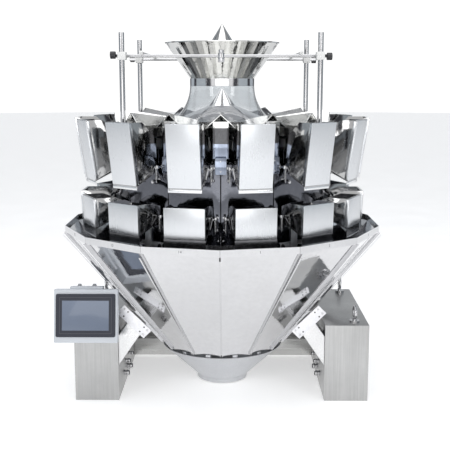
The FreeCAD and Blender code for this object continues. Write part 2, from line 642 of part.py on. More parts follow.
def infeed_spike():
    """Pointed cap in the mouth of the funnel, on a stem held by three spokes."""
    body = new_body("spike_cap")
    low = "spoke_level - spoke_height"
    revolve(body, outline(body, "XZ_Plane", [
        ("0", "spike_tip"), ("spike_radius", "spike_base"),
        ("spike_waist", "spike_base - spike_waist_drop"), ("spike_stem", "spike_base - spike_foot_drop"),
        ("spike_stem", low), ("0", low)]))
    doc.recompute()
    bore = "collar_radius - funnel_wall - funnel_step"
    reach = ("(%s + (spoke_level - collar_top) * (funnel_radius - collar_radius) / (funnel_top - collar_top))"
             % bore)
    spokes = []
    for turn in range(3):
        spoke = block(("0", "-spoke_width / 2", low), (reach, "spoke_width / 2", "spoke_level"))
        spoke.Placement = FreeCAD.Placement(Vector(0, 0, 0), Rotation(Vector(0, 0, 1), 120 * turn + 30))
        angle = math.radians(120 * turn + 30)
        spoke.setExpression("Placement.Base.x", bound("%.9f * spoke_width / 2" % math.sin(angle)))
        spoke.setExpression("Placement.Base.y", bound("-(%.9f) * spoke_width / 2" % math.cos(angle)))
        spokes.append(spoke)
    return keep(join([body] + spokes), "infeed_spike")


dispersion_cone()
bell_skirt()
turned_piece("funnel_collar", rectangle("collar_radius - collar_wall", "collar_low", "collar_radius",
                                        "collar_top"))
turned_piece("infeed_funnel", [
    ("collar_radius - funnel_wall - funnel_step", "collar_top"),
    ("collar_radius - funnel_step", "collar_top"),
    ("funnel_radius", "funnel_top - funnel_lip"), ("funnel_radius + funnel_lip", "funnel_top - funnel_lip"),
    ("funnel_radius + funnel_lip", "funnel_top"), ("funnel_radius - funnel_wall", "funnel_top")])
infeed_spike()


# ---------------------------------------------------------------- discharge chutes and outlet

def chute_panels():
    """Flat trapezoid panels under the hoppers, each with an upright band at the rim and hemmed edges."""
    body = new_body("chute_panels")
    top = "(chute_top_radius * cos(180 / heads))"
    low = "(chute_low_radius * cos(180 / heads))"
    half_top = "(chute_top_radius * sin(180 / heads) - chute_gap / 2)"
    half_low = "(chute_low_radius * sin(180 / heads) - chute_gap / 2)"
    loft(body, outline(body, "XY_Plane",
                       rectangle(low + " - chute_wall", "-" + half_low, low, half_low), "chute_low"),
         outline(body, "XY_Plane",
                 rectangle(top + " - chute_wall", "-" + half_top, top, half_top), "chute_bend"))
    pad(body, outline(body, "XY_Plane",
                      rectangle(top + " - chute_wall", "-" + half_top, top, half_top), "chute_bend"),
        "chute_band", "One side")
    for side in ("", "-"):
        def hem(face, half, level):
            return outline(body, "XY_Plane", rectangle(
                face, "%s(%s - chute_wall)" % (side, half), face + " + chute_hem",
                "%s(%s)" % (side, half)), level)
        loft(body, hem(low, half_low, "chute_low"), hem(top, half_top, "chute_bend"))
    around(body)
    return keep(turned(body, HEAD_TURN % 0), "chute_panels")


def outlet_cone():
    """Collecting cone under the chutes, with a short neck and four tabs that hang it on them."""
    body = new_body("outlet_shell")
    revolve(body, outline(body, "XZ_Plane", [
        ("outlet_radius - outlet_wall", "outlet_low"), ("outlet_radius", "outlet_low"),
        ("outlet_radius", "outlet_low + outlet_neck"), ("outlet_rim_radius", "outlet_rim"),
        ("outlet_rim_radius - outlet_wall * 1.4", "outlet_rim"),
        ("outlet_radius - outlet_wall", "outlet_low + outlet_neck + 1")]))
    doc.recompute()
    inner = "(chute_low_radius * cos(180 / heads) - chute_wall)"
    tab = rectangle(inner + " - tab_sheet", "outlet_rim - tab_lap", inner, "outlet_rim + tab_height")
    tabs = new_body("outlet_tabs")
    pad(tabs, outline(tabs, "XZ_Plane", tab), "tab_width")
    around(tabs)
    turned(tabs, HEAD_TURN % 0)
    return keep(join([body, tabs]), "outlet_cone")


def chute_brackets():
    """Strip plates that tie the chute ring to the arms, laid along the chute's slope."""
    plate = doc.addObject("Part::Box", "plate")
    plate.Placement = FreeCAD.Placement(Vector(1, 1, 1), Rotation(Vector(0, -1, 0), 10))
    bind(plate, Length="plate_length", Width="plate_sheet", Height="plate_width")
    half = "plate_length / 2"
    wide = "plate_width / 2"
    plate.setExpression("Placement.Rotation.Angle", bound("plate_turn"))
    plate.setExpression("Placement.Base.x", bound(
        "plate_x - %s * cos(plate_turn) + %s * sin(plate_turn)" % (half, wide)))
    plate.setExpression("Placement.Base.y", bound("-arm_outer_y - plate_sheet"))
    plate.setExpression("Placement.Base.z", bound(
        "plate_level - %s * sin(plate_turn) - %s * cos(plate_turn)" % (half, wide)))
    return keep(four_corners(plate), "chute_brackets")


chute_panels()
outlet_cone()
chute_brackets()


# ---------------------------------------------------------------- sensor frame over the infeed

POST_X = "post_across / 2"
POST_Y = "post_along / 2"


def frame_posts():
    """Four posts, each on a foot bar that lies on the body's lid between two drives."""
    turn = math.degrees(math.atan2(size("post_along"), size("post_across")))
    foot = block(("foot_inner", "0", "drum_top + lid_thickness"),
                 ("sqrt((post_across / 2)^2 + (post_along / 2)^2)", "foot_width",
                  "drum_top + lid_thickness + foot_height"))
    foot.Placement = FreeCAD.Placement(Vector(0, 0, 0), Rotation(Vector(0, 0, 1), turn))
    bearing = "atan(post_along / post_across)"
    foot.setExpression("Placement.Rotation.Angle", bound(bearing))
    foot.setExpression("Placement.Base.x", bound(
        "foot_inner * cos(%s) + foot_width / 2 * sin(%s)" % (bearing, bearing)))
    foot.setExpression("Placement.Base.y", bound(
        "foot_inner * sin(%s) - foot_width / 2 * cos(%s)" % (bearing, bearing)))
    post = rod("post_radius", "post_top - drum_top - lid_thickness",
               (POST_X, POST_Y, "drum_top + lid_thickness"), Vector(0, 0, 1))
    return keep(four_corners(join([foot, post])), "frame_posts")


def level_rail():
    """Two rods across and two bars along, held to the posts by four split clamps."""
    rail_y = POST_Y + " - rail_offset"
    reach = POST_X + " + rail_overhang"
    across = rod("rail_radius", "2 * (%s)" % reach, ("-(%s)" % reach, rail_y, "rail_level"), Vector(1, 0, 0))
    bar = rod("bar_radius", "2 * (%s)" % rail_y,
              ("bar_across / 2", "-(%s)" % rail_y, "rail_level + rail_radius + bar_radius"), Vector(0, 1, 0))
    clamp = block((POST_X + " - clamp_wide / 2", rail_y + " - clamp_deep / 2 + rail_offset / 2",
                   "rail_level - clamp_high / 2"),
                  (POST_X + " + clamp_wide / 2", rail_y + " + clamp_deep / 2 + rail_offset / 2",
                   "rail_level + clamp_high / 2"))
    post_bore = rod("post_radius + post_play", "clamp_high * 2", (POST_X, POST_Y, "rail_level - clamp_high"),
                    Vector(0, 0, 1))
    rail_bore = rod("rail_radius + rail_play", "clamp_wide * 2",
                    (POST_X + " - clamp_wide", rail_y, "rail_level"), Vector(1, 0, 0))
    clamps = four_corners(cut(clamp, join([post_bore, rail_bore])))
    rails = group([across, reflected(across, Vector(0, 1, 0))])
    return keep(group([rails, both_sides(bar), clamps]), "level_rail")


def level_sensor():
    """Barrel sensor that looks down into the funnel from the front rod."""
    rail_y = "-(%s - rail_offset)" % POST_Y
    barrel = rod("sensor_radius", "sensor_length", ("0", rail_y, "rail_level - sensor_length / 2"),
                 Vector(0, 0, 1))
    bore = rod("rail_radius + rail_play", "sensor_radius * 4", ("-sensor_radius * 2", rail_y, "rail_level"),
               Vector(1, 0, 0))
    return keep(cut(barrel, bore), "level_sensor")


def clamp_knob(number, side_x, side_y):
    """Five-lobed hand knob on the outer face of a clamp, turning about X."""
    face = "%g * (%s + clamp_wide / 2 + knob_gap)" % (side_x, POST_X)
    centre_y = "%g * (%s)" % (side_y, POST_Y)
    out = Vector(side_x, 0, 0)
    head = "%s + %g * knob_stem" % (face, side_x)
    pieces = [rod("stem_radius", "knob_stem", (face, centre_y, "rail_level"), out),
              rod("knob_radius", "knob_length", (head, centre_y, "rail_level"), out)]
    for lobe in range(5):
        angle = math.radians(90 + 72 * lobe)
        pieces.append(rod("lobe_radius", "knob_length", (
            head, "%s + (%.9f) * knob_radius" % (centre_y, math.cos(angle)),
            "rail_level + (%.9f) * knob_radius" % math.sin(angle)), out))
    return keep(join(pieces), "clamp_knob_%d" % number)


frame_posts()
level_rail()
level_sensor()
for number, (side_x, side_y) in enumerate(((1, -1), (1, 1), (-1, 1), (-1, -1)), start=1):
    clamp_knob(number, side_x, side_y)


# ---------------------------------------------------------------- base

def base_boxes():
    """Closed folded boxes that stand on the floor at each side, with four anchor holes in each floor."""
    shell = block(("base_inner", "-base_half_depth", "0"), ("base_outer", "base_half_depth", "base_height"))
    hollow = block(("base_inner + base_wall", "-base_half_depth + base_wall", "base_wall"),
                   ("base_outer - base_wall", "base_half_depth - base_wall", "base_height - base_wall"))
    middle = "(base_inner + base_outer) / 2"
    holes = [rod("anchor_hole_radius", "base_wall * 2",
                 ("%s + %g * anchor_across / 2" % (middle, a), "%g * anchor_along / 2" % b, "-base_wall / 2"),
                 Vector(0, 0, 1)) for a in (-1, 1) for b in (-1, 1)]
    return keep(both_sides(cut(cut(shell, hollow), join(holes))), "base_boxes")


def base_arms():
    """Four sloped box arms from the base boxes up to the chute ring."""
    body = new_body("base_arms")
    side = [("base_inner", "arm_low"), ("base_inner", "arm_side_top"),
            ("arm_end_top_x", "arm_end_top_level"), ("arm_end_x", "arm_end_level")]
    pad(body, outline(body, "XZ_Plane", side), "2 * arm_outer_y")
    between = rectangle("arm_end_x - through", "arm_low - through", "base_inner + through",
                        "arm_end_top_level + through")
    pocket(body, outline(body, "XZ_Plane", between), "2 * arm_inner_y")
    mirrored(body, "YZ_Plane")
    return keep(body, "base_arms")


def rear_beam():
    """Box beam that joins the base boxes at the back, with a splash panel standing on it."""
    beam = block(("-base_inner", "base_half_depth - beam_depth", "beam_low"),
                 ("base_inner", "base_half_depth", "beam_top"))
    panel = block(("-base_inner", "base_half_depth - back_panel_sheet", "beam_top"),
                  ("base_inner", "base_half_depth", "back_panel_top"))
    return keep(group([beam, panel]), "rear_beam")


def eye_bolts():
    """Lifting eyes at the four corners of the base."""
    centre_x = "eye_across / 2"
    centre_y = "eye_along / 2"
    collar = rod("eye_collar", "eye_collar_height", (centre_x, centre_y, "base_height"), Vector(0, 0, 1))
    neck = rod("eye_neck_radius", "eye_neck_height", (centre_x, centre_y, "base_height + eye_collar_height"),
               Vector(0, 0, 1))
    ring = doc.addObject("Part::Torus", "ring")
    ring.Placement = FreeCAD.Placement(Vector(1, 1, 1), Rotation(Vector(0, 1, 0), 90))
    bind(ring, Radius1="eye_ring", Radius2="eye_wire")
    ring_level = "base_height + eye_collar_height + eye_neck_height - eye_bury + eye_ring + eye_wire"
    for axis, text in zip("xyz", (centre_x, centre_y, ring_level)):
        ring.setExpression("Placement.Base." + axis, bound(text))
    return keep(four_corners(join([collar, neck, ring])), "eye_bolts")


def cable_connectors():
    """Round panel connectors on the inner faces of the base boxes."""
    plugs = []
    for along, level, scale in ((-118, 52, 1.0), (-70, 88, 0.8), (-12, 46, 1.0), (40, 84, 0.7)):
        plugs.append(rod("plug_radius * %g" % scale, "plug_length", ("base_inner", str(along), str(level)),
                         Vector(-1, 0, 0)))
    return keep(both_sides(group(plugs)), "cable_connectors")


base_boxes()
base_arms()
rear_beam()
eye_bolts()
cable_connectors()


# ---------------------------------------------------------------- operator panel

def on_panel(body):
    """Stand a panel piece, drawn upright, at the panel's place and lean it back."""
    body.Placement = FreeCAD.Placement(Vector(1, 1, 1), Rotation(Vector(-1, 0, 0), 10))
    body.setExpression("Placement.Rotation.Angle", bound("panel_tilt"))
    for axis in "xyz":
        name = {"x": "panel_x", "y": "panel_y", "z": "panel_level"}[axis]
        body.setExpression("Placement.Base." + axis, bound(name))
    return body


def hmi_case():
    """Folded sheet case with a bracket that meets the front of the left base box squarely."""
    body = new_body("hmi_case")
    case = rectangle("0", "0", "panel_thickness", "panel_height")
    pad(body, outline(body, "YZ_Plane", case), "panel_width")
    reach = "(-base_half_depth - panel_y)"

    def rear(rise):
        return ("%s * cos(panel_tilt) - (%s) * sin(panel_tilt)" % (reach, rise),
                "%s * sin(panel_tilt) + (%s) * cos(panel_tilt)" % (reach, rise))

    root = "panel_thickness - panel_wall / 2"
    bracket = [(root, "panel_bracket_low"), rear("panel_bracket_low"), rear("panel_bracket_top"),
               (root, "panel_bracket_top + panel_bracket_gusset")]
    pad(body, outline(body, "YZ_Plane", bracket), "panel_bracket_width")
    hollow = rectangle("panel_wall", "panel_wall", "panel_thickness - panel_wall",
                       "panel_height - panel_wall")
    pocket(body, outline(body, "YZ_Plane", hollow), "panel_width - 2 * panel_wall")
    return keep(on_panel(body), "hmi_case")


def hmi_screen():
    """Touch panel: a moulded bezel with the display set a little below its face."""
    body = new_body("hmi_screen")
    pad(body, outline(body, "YZ_Plane", rectangle("-bezel_thickness", "bezel_lift", "0",
                                                  "bezel_lift + bezel_height")), "bezel_width")
    low = "bezel_lift + (bezel_height - display_height) / 2"
    recess = rectangle("-2 * bezel_thickness", low, "-bezel_thickness + display_recess",
                       low + " + display_height")
    pocket(body, outline(body, "YZ_Plane", recess), "display_width")
    return keep(on_panel(body), "hmi_screen")


hmi_case()
hmi_screen()


# ---------------------------------------------------------------- check and write

doc.recompute()
for item in doc.Objects:
    if "Invalid" in item.State or "Error" in item.State:
        raise RuntimeError("%s (%s) is %s" % (item.Name, item.Label, item.State))
names = [item.Label for item in parts]
if len(names) != len(set(names)) or len(names) > 60:
    raise RuntimeError("sub-part names are not unique, or there are more than 60")
os.makedirs("parts", exist_ok=True)
for item in parts:
    shape = item.Shape
    if shape.isNull() or not shape.isValid():
        raise RuntimeError("sub-part %s has no valid shape" % item.Label)
    print("%-18s solids %2d  volume %12.1f" % (item.Label, len(shape.Solids), shape.Volume))
    shape.exportStep(os.path.join("parts", item.Label + ".step"))
print(len(parts), "sub-parts")
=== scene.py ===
import math
import bmesh
import bpy
from mathutils import Matrix, Vector


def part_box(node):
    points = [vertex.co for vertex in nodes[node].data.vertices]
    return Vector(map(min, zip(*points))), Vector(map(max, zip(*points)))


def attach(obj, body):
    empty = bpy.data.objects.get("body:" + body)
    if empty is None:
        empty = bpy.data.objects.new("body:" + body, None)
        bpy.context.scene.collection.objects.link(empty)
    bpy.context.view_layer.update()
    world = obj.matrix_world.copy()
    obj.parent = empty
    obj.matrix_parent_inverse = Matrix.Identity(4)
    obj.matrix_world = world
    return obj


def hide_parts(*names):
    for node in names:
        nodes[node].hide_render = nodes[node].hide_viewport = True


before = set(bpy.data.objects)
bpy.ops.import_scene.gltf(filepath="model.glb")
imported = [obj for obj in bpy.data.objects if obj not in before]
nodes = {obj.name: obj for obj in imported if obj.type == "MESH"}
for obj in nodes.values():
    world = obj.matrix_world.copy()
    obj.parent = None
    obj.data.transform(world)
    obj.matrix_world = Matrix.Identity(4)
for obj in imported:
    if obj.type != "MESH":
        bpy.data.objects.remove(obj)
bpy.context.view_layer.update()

scene = bpy.context.scene

# ---------------------------------------------------------------- studio
# A pale floor that runs out to a pale surround, and soft boxes overhead, in front and at each side.
# Black flags stand between the pale walls of the studio, so that mirror sheet shows its edges; the
# backdrop itself is white.
camera_data = bpy.data.cameras.new("product_camera")
camera_data.lens = 68.0
camera = bpy.data.objects.new("product_camera", camera_data)
camera.location = (0.042, -3.45, 1.237)
camera.rotation_euler = (math.radians(90 - 9.714), 0, math.radians(0.508))
scene.collection.objects.link(camera)
scene.camera = camera
scene.view_settings.view_transform = "Standard"

surround = bpy.data.worlds.new("pale_surround")
surround.use_nodes = True
scene.world = surround
sky = surround.node_tree
heading = sky.nodes.new("ShaderNodeTexCoord")
split = sky.nodes.new("ShaderNodeSeparateXYZ")
sky.links.new(heading.outputs["Generated"], split.inputs["Vector"])
bearing = sky.nodes.new("ShaderNodeMath")
bearing.operation = "ARCTAN2"
sky.links.new(split.outputs["X"], bearing.inputs[0])
sky.links.new(split.outputs["Y"], bearing.inputs[1])
aside = sky.nodes.new("ShaderNodeMath")
aside.operation = "ABSOLUTE"
sky.links.new(bearing.outputs[0], aside.inputs[0])
quarter = sky.nodes.new("ShaderNodeMath")
quarter.operation = "DIVIDE"
quarter.inputs[1].default_value = math.pi
sky.links.new(aside.outputs[0], quarter.inputs[0])
walls = sky.nodes.new("ShaderNodeValToRGB")
walls.color_ramp.elements[0].color = (0.62, 0.64, 0.66, 1)
walls.color_ramp.elements[1].color = (0.98, 0.98, 0.98, 1)
front_wall, front_flag = (0.62, 0.64, 0.66), (0.06, 0.06, 0.07)
side_wall, middle_flag = (0.50, 0.55, 0.60), (0.05, 0.05, 0.06)
for bearing_part, shade in ((0.10, front_wall), (0.13, front_flag), (0.20, front_flag),
                            (0.23, side_wall), (0.34, side_wall),
                            (0.36, middle_flag), (0.41, middle_flag),
                            (0.44, (0.48, 0.53, 0.57)), (0.66, (0.52, 0.57, 0.61)),
                            (0.69, (0.07, 0.07, 0.08)), (0.76, (0.07, 0.07, 0.08)),
                            (0.80, (0.96, 0.96, 0.97))):
    walls.color_ramp.elements.new(bearing_part).color = shade + (1,)
sky.links.new(quarter.outputs[0], walls.inputs["Fac"])
height = sky.nodes.new("ShaderNodeValToRGB")
height.color_ramp.elements[0].position = 0.55
height.color_ramp.elements[0].color = (0, 0, 0, 1)
height.color_ramp.elements[1].position = 0.75
height.color_ramp.elements[1].color = (1, 1, 1, 1)
sky.links.new(split.outputs["Z"], height.inputs["Fac"])
ceiling = sky.nodes.new("ShaderNodeMix")
ceiling.data_type = "RGBA"
ceiling.inputs["B"].default_value = (0.42, 0.43, 0.45, 1)
sky.links.new(height.outputs["Color"], ceiling.inputs["Factor"])
sky.links.new(walls.outputs["Color"], ceiling.inputs["A"])
seen = sky.nodes.new("ShaderNodeLightPath")
backdrop = sky.nodes.new("ShaderNodeMix")
backdrop.data_type = "RGBA"
backdrop.inputs["B"].default_value = (1.1, 1.1, 1.1, 1)
sky.links.new(seen.outputs["Is Camera Ray"], backdrop.inputs["Factor"])
sky.links.new(ceiling.outputs["Result"], backdrop.inputs["A"])
sky.links.new(backdrop.outputs["Result"], sky.nodes["Background"].inputs["Color"])


def matte(name, colour, roughness, grain_scale, grain_depth):
    """A painted or moulded surface with a fine even grain."""
    finish = bpy.data.materials.new(name)
    finish.use_nodes = True
    tree = finish.node_tree
    shader = tree.nodes["Principled BSDF"]
    place = tree.nodes.new("ShaderNodeTexCoord")
    grain = tree.nodes.new("ShaderNodeTexNoise")
    grain.inputs["Scale"].default_value = grain_scale
    grain.inputs["Detail"].default_value = 4.0
    tree.links.new(place.outputs["Object"], grain.inputs["Vector"])
    shade = tree.nodes.new("ShaderNodeValToRGB")
    shade.color_ramp.elements[0].position = 0.3
    shade.color_ramp.elements[0].color = tuple(0.9 * c for c in colour) + (1,)
    shade.color_ramp.elements[1].position = 0.7
    shade.color_ramp.elements[1].color = tuple(colour) + (1,)
    tree.links.new(grain.outputs["Fac"], shade.inputs["Fac"])
    tree.links.new(shade.outputs["Color"], shader.inputs["Base Color"])
    gloss = tree.nodes.new("ShaderNodeMapRange")
    gloss.inputs["To Min"].default_value = roughness - 0.06
    gloss.inputs["To Max"].default_value = roughness + 0.06
    tree.links.new(grain.outputs["Fac"], gloss.inputs["Value"])
    tree.links.new(gloss.outputs["Result"], shader.inputs["Roughness"])
    bump = tree.nodes.new("ShaderNodeBump")
    bump.inputs["Distance"].default_value = grain_depth
    tree.links.new(grain.outputs["Fac"], bump.inputs["Height"])
    tree.links.new(bump.outputs["Normal"], shader.inputs["Normal"])
    return finish


floor_shape = bmesh.new()
bmesh.ops.create_circle(floor_shape, cap_ends=True, segments=96, radius=30.0)
floor_mesh = bpy.data.meshes.new("studio_floor")
floor_shape.to_mesh(floor_mesh)
floor_shape.free()
floor_paint = matte("pale_floor_paint", (0.93, 0.93, 0.93), 0.7, 3.0, 0.0002)
floor_glow = floor_paint.node_tree.nodes["Principled BSDF"]
floor_glow.inputs["Emission Color"].default_value = (1.0, 1.0, 1.0, 1)
floor_glow.inputs["Emission Strength"].default_value = 0.46
floor_mesh.materials.append(floor_paint)
floor = bpy.data.objects.new("studio_floor", floor_mesh)
scene.collection.objects.link(floor)


def soft_box(name, place, aim, width, height, power):
    """A rectangular soft box that points at a spot."""
    lamp = bpy.data.lights.new(name, "AREA")
    lamp.shape = "RECTANGLE"
    lamp.size = width
    lamp.size_y = height
    lamp.energy = power
    stand = bpy.data.objects.new(name, lamp)
    stand.location = place
    stand.rotation_euler = (Vector(aim) - Vector(place)).to_track_quat("-Z", "Y").to_euler()
    scene.collection.objects.link(stand)


soft_box("overhead_box", (0, -0.4, 4.4), (0, 0, 0.0), 4.0, 4.0, 90)
soft_box("front_left_box", (-2.6, -3.4, 2.2), (0, 0, 0.7), 1.0, 1.6, 16)
soft_box("front_right_box", (2.6, -3.4, 2.2), (0, 0, 0.7), 1.0, 1.6, 16)
soft_box("low_front_box", (0, -3.2, 0.9), (0, 0, 0.1), 2.6, 0.8, 8)

# ---------------------------------------------------------------- side boxes
# Two closed boxes folded from 4 mm stainless sheet, brushed up and down, with welded and dressed
# corners. Each has a screwed service door on its outer face and louvres at the back.


def steel(name, colour, gloss, brush=(1.0, 1.0, 1.0), brush_depth=0.0, wave_depth=0.0, stain=0.1):
    """Stainless steel: a grain drawn out along the brushing, slow waves in the sheet and faint smears."""
    finish = bpy.data.materials.new(name)
    finish.use_nodes = True
    tree = finish.node_tree
    shader = tree.nodes["Principled BSDF"]
    shader.inputs["Metallic"].default_value = 1.0
    place = tree.nodes.new("ShaderNodeTexCoord")
    stretch = tree.nodes.new("ShaderNodeMapping")
    stretch.inputs["Scale"].default_value = brush
    tree.links.new(place.outputs["Object"], stretch.inputs["Vector"])
    grain = tree.nodes.new("ShaderNodeTexNoise")
    grain.inputs["Scale"].default_value = 1.0
    grain.inputs["Detail"].default_value = 3.0
    tree.links.new(stretch.outputs["Vector"], grain.inputs["Vector"])
    smear = tree.nodes.new("ShaderNodeTexNoise")
    smear.inputs["Scale"].default_value = 6.0
    smear.inputs["Detail"].default_value = 5.0
    smear.inputs["Roughness"].default_value = 0.65
    tree.links.new(place.outputs["Object"], smear.inputs["Vector"])
    blend = tree.nodes.new("ShaderNodeMath")
    blend.operation = "MULTIPLY"
    tree.links.new(grain.outputs["Fac"], blend.inputs[0])
    tree.links.new(smear.outputs["Fac"], blend.inputs[1])
    shade = tree.nodes.new("ShaderNodeValToRGB")
    shade.color_ramp.elements[0].position = 0.12
    shade.color_ramp.elements[0].color = tuple((1 - stain) * c for c in colour) + (1,)
    shade.color_ramp.elements[1].position = 0.4
    shade.color_ramp.elements[1].color = tuple(colour) + (1,)
    tree.links.new(blend.outputs[0], shade.inputs["Fac"])
    tree.links.new(shade.outputs["Color"], shader.inputs["Base Color"])
    polish = tree.nodes.new("ShaderNodeMapRange")
    polish.inputs["From Min"].default_value = 0.1
    polish.inputs["From Max"].default_value = 0.4
    polish.inputs["To Min"].default_value = gloss[1]
    polish.inputs["To Max"].default_value = gloss[0]
    tree.links.new(blend.outputs[0], polish.inputs["Value"])
    tree.links.new(polish.outputs["Result"], shader.inputs["Roughness"])
    scratch = tree.nodes.new("ShaderNodeBump")
    scratch.inputs["Distance"].default_value = brush_depth
    tree.links.new(grain.outputs["Fac"], scratch.inputs["Height"])
    swell = tree.nodes.new("ShaderNodeBump")
    swell.inputs["Distance"].default_value = wave_depth
    tree.links.new(smear.outputs["Fac"], swell.inputs["Height"])
    tree.links.new(scratch.outputs["Normal"], swell.inputs["Normal"])
    tree.links.new(swell.outputs["Normal"], shader.inputs["Normal"])
    return finish


def rounded_copy(node, radius, segments=2):
    """A CAD node's shape with its doubles merged and its sharp edges rounded."""
    shape = bmesh.new()
    shape.from_mesh(nodes[node].data)
    bmesh.ops.remove_doubles(shape, verts=shape.verts, dist=0.00002)
    bmesh.ops.dissolve_limit(shape, angle_limit=math.radians(0.5), verts=shape.verts, edges=shape.edges)
    sharp = [edge for edge in shape.edges if edge.calc_face_angle(0.0) > math.radians(24)]
    bmesh.ops.bevel(shape, geom=sharp, offset=radius, offset_type="OFFSET", affect="EDGES",
                    segments=segments, profile=0.5, clamp_overlap=True, material=-1)
    return shape


def piece(name, shape, finish, body="frame", crease=35.0):
    """Finishes a shape as an object that rides on a body and takes a finish slot."""
    mesh = bpy.data.meshes.new(name)
    shape.to_mesh(mesh)
    shape.free()
    mesh.polygons.foreach_set("use_smooth", [True] * len(mesh.polygons))
    mesh.set_sharp_from_angle(angle=math.radians(crease))
    mesh.materials.append(finish)
    made = bpy.data.objects.new(name, mesh)
    scene.collection.objects.link(made)
    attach(made, body)
    return made


def block(shape, low, high, radius=0.0, segments=2):
    """A box between two corners with rounded edges."""
    low, high = Vector(low), Vector(high)
    before = set(shape.verts)
    place = Matrix.Translation((low + high) / 2) @ Matrix.Diagonal((high - low).to_4d())
    made = bmesh.ops.create_cube(shape, size=1.0, matrix=place)["verts"]
    if radius:
        edges = list({edge for vert in made for edge in vert.link_edges})
        bmesh.ops.bevel(shape, geom=edges, offset=radius, offset_type="OFFSET", affect="EDGES",
                        segments=segments, profile=0.5, clamp_overlap=True, material=-1)
    return [vert for vert in shape.verts if vert not in before]


def rod(shape, start, end, radius, sides=16, end_radius=0.0, tip_radius=None):
    """A round bar from one point to another, with its ends eased and, if asked, a taper."""
    start, end = Vector(start), Vector(end)
    before = set(shape.verts)
    turn = (end - start).to_track_quat("Z", "Y").to_matrix().to_4x4()
    made = bmesh.ops.create_cone(shape, cap_ends=True, segments=sides, radius1=radius,
                                 radius2=radius if tip_radius is None else tip_radius,
                                 depth=(end - start).length,
                                 matrix=Matrix.Translation((start + end) / 2) @ turn)["verts"]
    if end_radius:
        rims = list({edge for vert in made for edge in vert.link_edges
                     if any(len(face.verts) == sides for face in edge.link_faces)})
        bmesh.ops.bevel(shape, geom=rims, offset=end_radius, offset_type="OFFSET", affect="EDGES",
                        segments=2, profile=0.5, clamp_overlap=True, material=-1)
    return [vert for vert in shape.verts if vert not in before]


def both_sides(shape):
    """Repeats everything drawn so far on the other side of the machine."""
    drawn = list(shape.verts) + list(shape.edges) + list(shape.faces)
    copy = bmesh.ops.duplicate(shape, geom=drawn)["geom"]
    bmesh.ops.scale(shape, vec=(-1, 1, 1),
                    verts=[item for item in copy if isinstance(item, bmesh.types.BMVert)])
    bmesh.ops.reverse_faces(shape, faces=[item for item in copy if isinstance(item, bmesh.types.BMFace)])


brushed_upright = steel("brushed_upright_stainless", (0.50, 0.50, 0.497), (0.30, 0.42), (260, 260, 5),
                        brush_depth=0.00004, wave_depth=0.0006, stain=0.16)
box_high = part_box("base_boxes")[1]
base_inner = 0.400
side_boxes = piece("side_boxes", rounded_copy("base_boxes", 0.003, 3), brushed_upright)
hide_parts("base_boxes")

door_shape = bmesh.new()
door_y, door_low, door_high = 0.225, 0.035, 0.262
block(door_shape, (box_high.x - 0.001, -door_y, door_low), (box_high.x + 0.003, door_y, door_high), 0.0012)
both_sides(door_shape)
piece("service_doors", door_shape, brushed_upright)

screw_steel = steel("screw_stainless", (0.62, 0.62, 0.63), (0.2, 0.34), (500, 500, 500), 0.00002)


def button_screw(shape, seat, outward, radius=0.0042):
    """A button-head screw with a hexagon socket."""
    seat, outward = Vector(seat), Vector(outward).normalized()
    rod(shape, seat, seat + outward * radius * 0.55, radius, 14, radius * 0.3, radius * 0.9)
    rod(shape, seat + outward * radius * 0.45, seat + outward * radius * 0.62, radius * 0.5, 6)


door_screws = bmesh.new()
for along in (-0.210, -0.07, 0.07, 0.210):
    for level in (door_low + 0.012, door_high - 0.012):
        button_screw(door_screws, (box_high.x + 0.003, along, level), (1, 0, 0))
both_sides(door_screws)
piece("service_door_screws", door_screws, screw_steel)

louvres = bmesh.new()
for row in range(9):
    level = 0.10 + 0.018 * row
    block(louvres, (0.430, box_high.y - 0.001, level), (0.540, box_high.y + 0.005, level + 0.009), 0.0022, 3)
both_sides(louvres)
piece("cooling_louvres", louvres, brushed_upright)

# ---------------------------------------------------------------- arms, rear beam and strip plates
# Sloped box arms welded to the side boxes, a box beam and splash panel across the back, and laser-cut
# strip plates screwed on to tie the chutes to the arms.
arm_steel = steel("brushed_arm_stainless", (0.78, 0.78, 0.78), (0.26, 0.38), (200, 5, 200),
                  brush_depth=0.00004, wave_depth=0.0008, stain=0.14)
arms = piece("sloped_arms", rounded_copy("base_arms", 0.0025, 3), arm_steel)
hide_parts("base_arms")
beam_steel = steel("brushed_beam_stainless", (0.72, 0.72, 0.71), (0.24, 0.36), (5, 240, 240),
                   brush_depth=0.00004, wave_depth=0.0008, stain=0.16)
beam = piece("rear_beam_and_panel", rounded_copy("rear_beam", 0.002), beam_steel)
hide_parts("rear_beam")

plate_steel = steel("blasted_plate_stainless", (0.84, 0.84, 0.86), (0.45, 0.56), (150, 150, 150), 0.00002)
plates = piece("strip_plates", rounded_copy("chute_brackets", 0.0008), plate_steel)
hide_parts("chute_brackets")
plate_screws = bmesh.new()
plate_holes = bmesh.new()
slope = math.radians(45)
along_plate = Vector((math.cos(slope), 0, math.sin(slope)))
across_plate = Vector((-math.sin(slope), 0, math.cos(slope)))
plate_middle = Vector((0.337, 0, 0.317))
for side in (-1, 1):
    face = Vector((0, side * 0.288, 0))
    for end in (-1, 1):
        for edge in (-1, 1):
            spot = plate_middle + face + along_plate * end * 0.060 + across_plate * edge * 0.012
            button_screw(plate_screws, spot, (0, side, 0), 0.0044)
        for edge in (-1, 1):
            spot = plate_middle + face + along_plate * end * 0.043 + across_plate * edge * 0.012
            rod(plate_holes, spot, spot + Vector((0, side * 0.0004, 0)), 0.0030, 14)
both_sides(plate_screws)
both_sides(plate_holes)
piece("strip_plate_screws", plate_screws, screw_steel)
shadow_black = matte("tapped_hole_shadow", (0.02, 0.02, 0.022), 0.6, 300.0, 0.00005)
piece("strip_plate_holes", plate_holes, shadow_black)

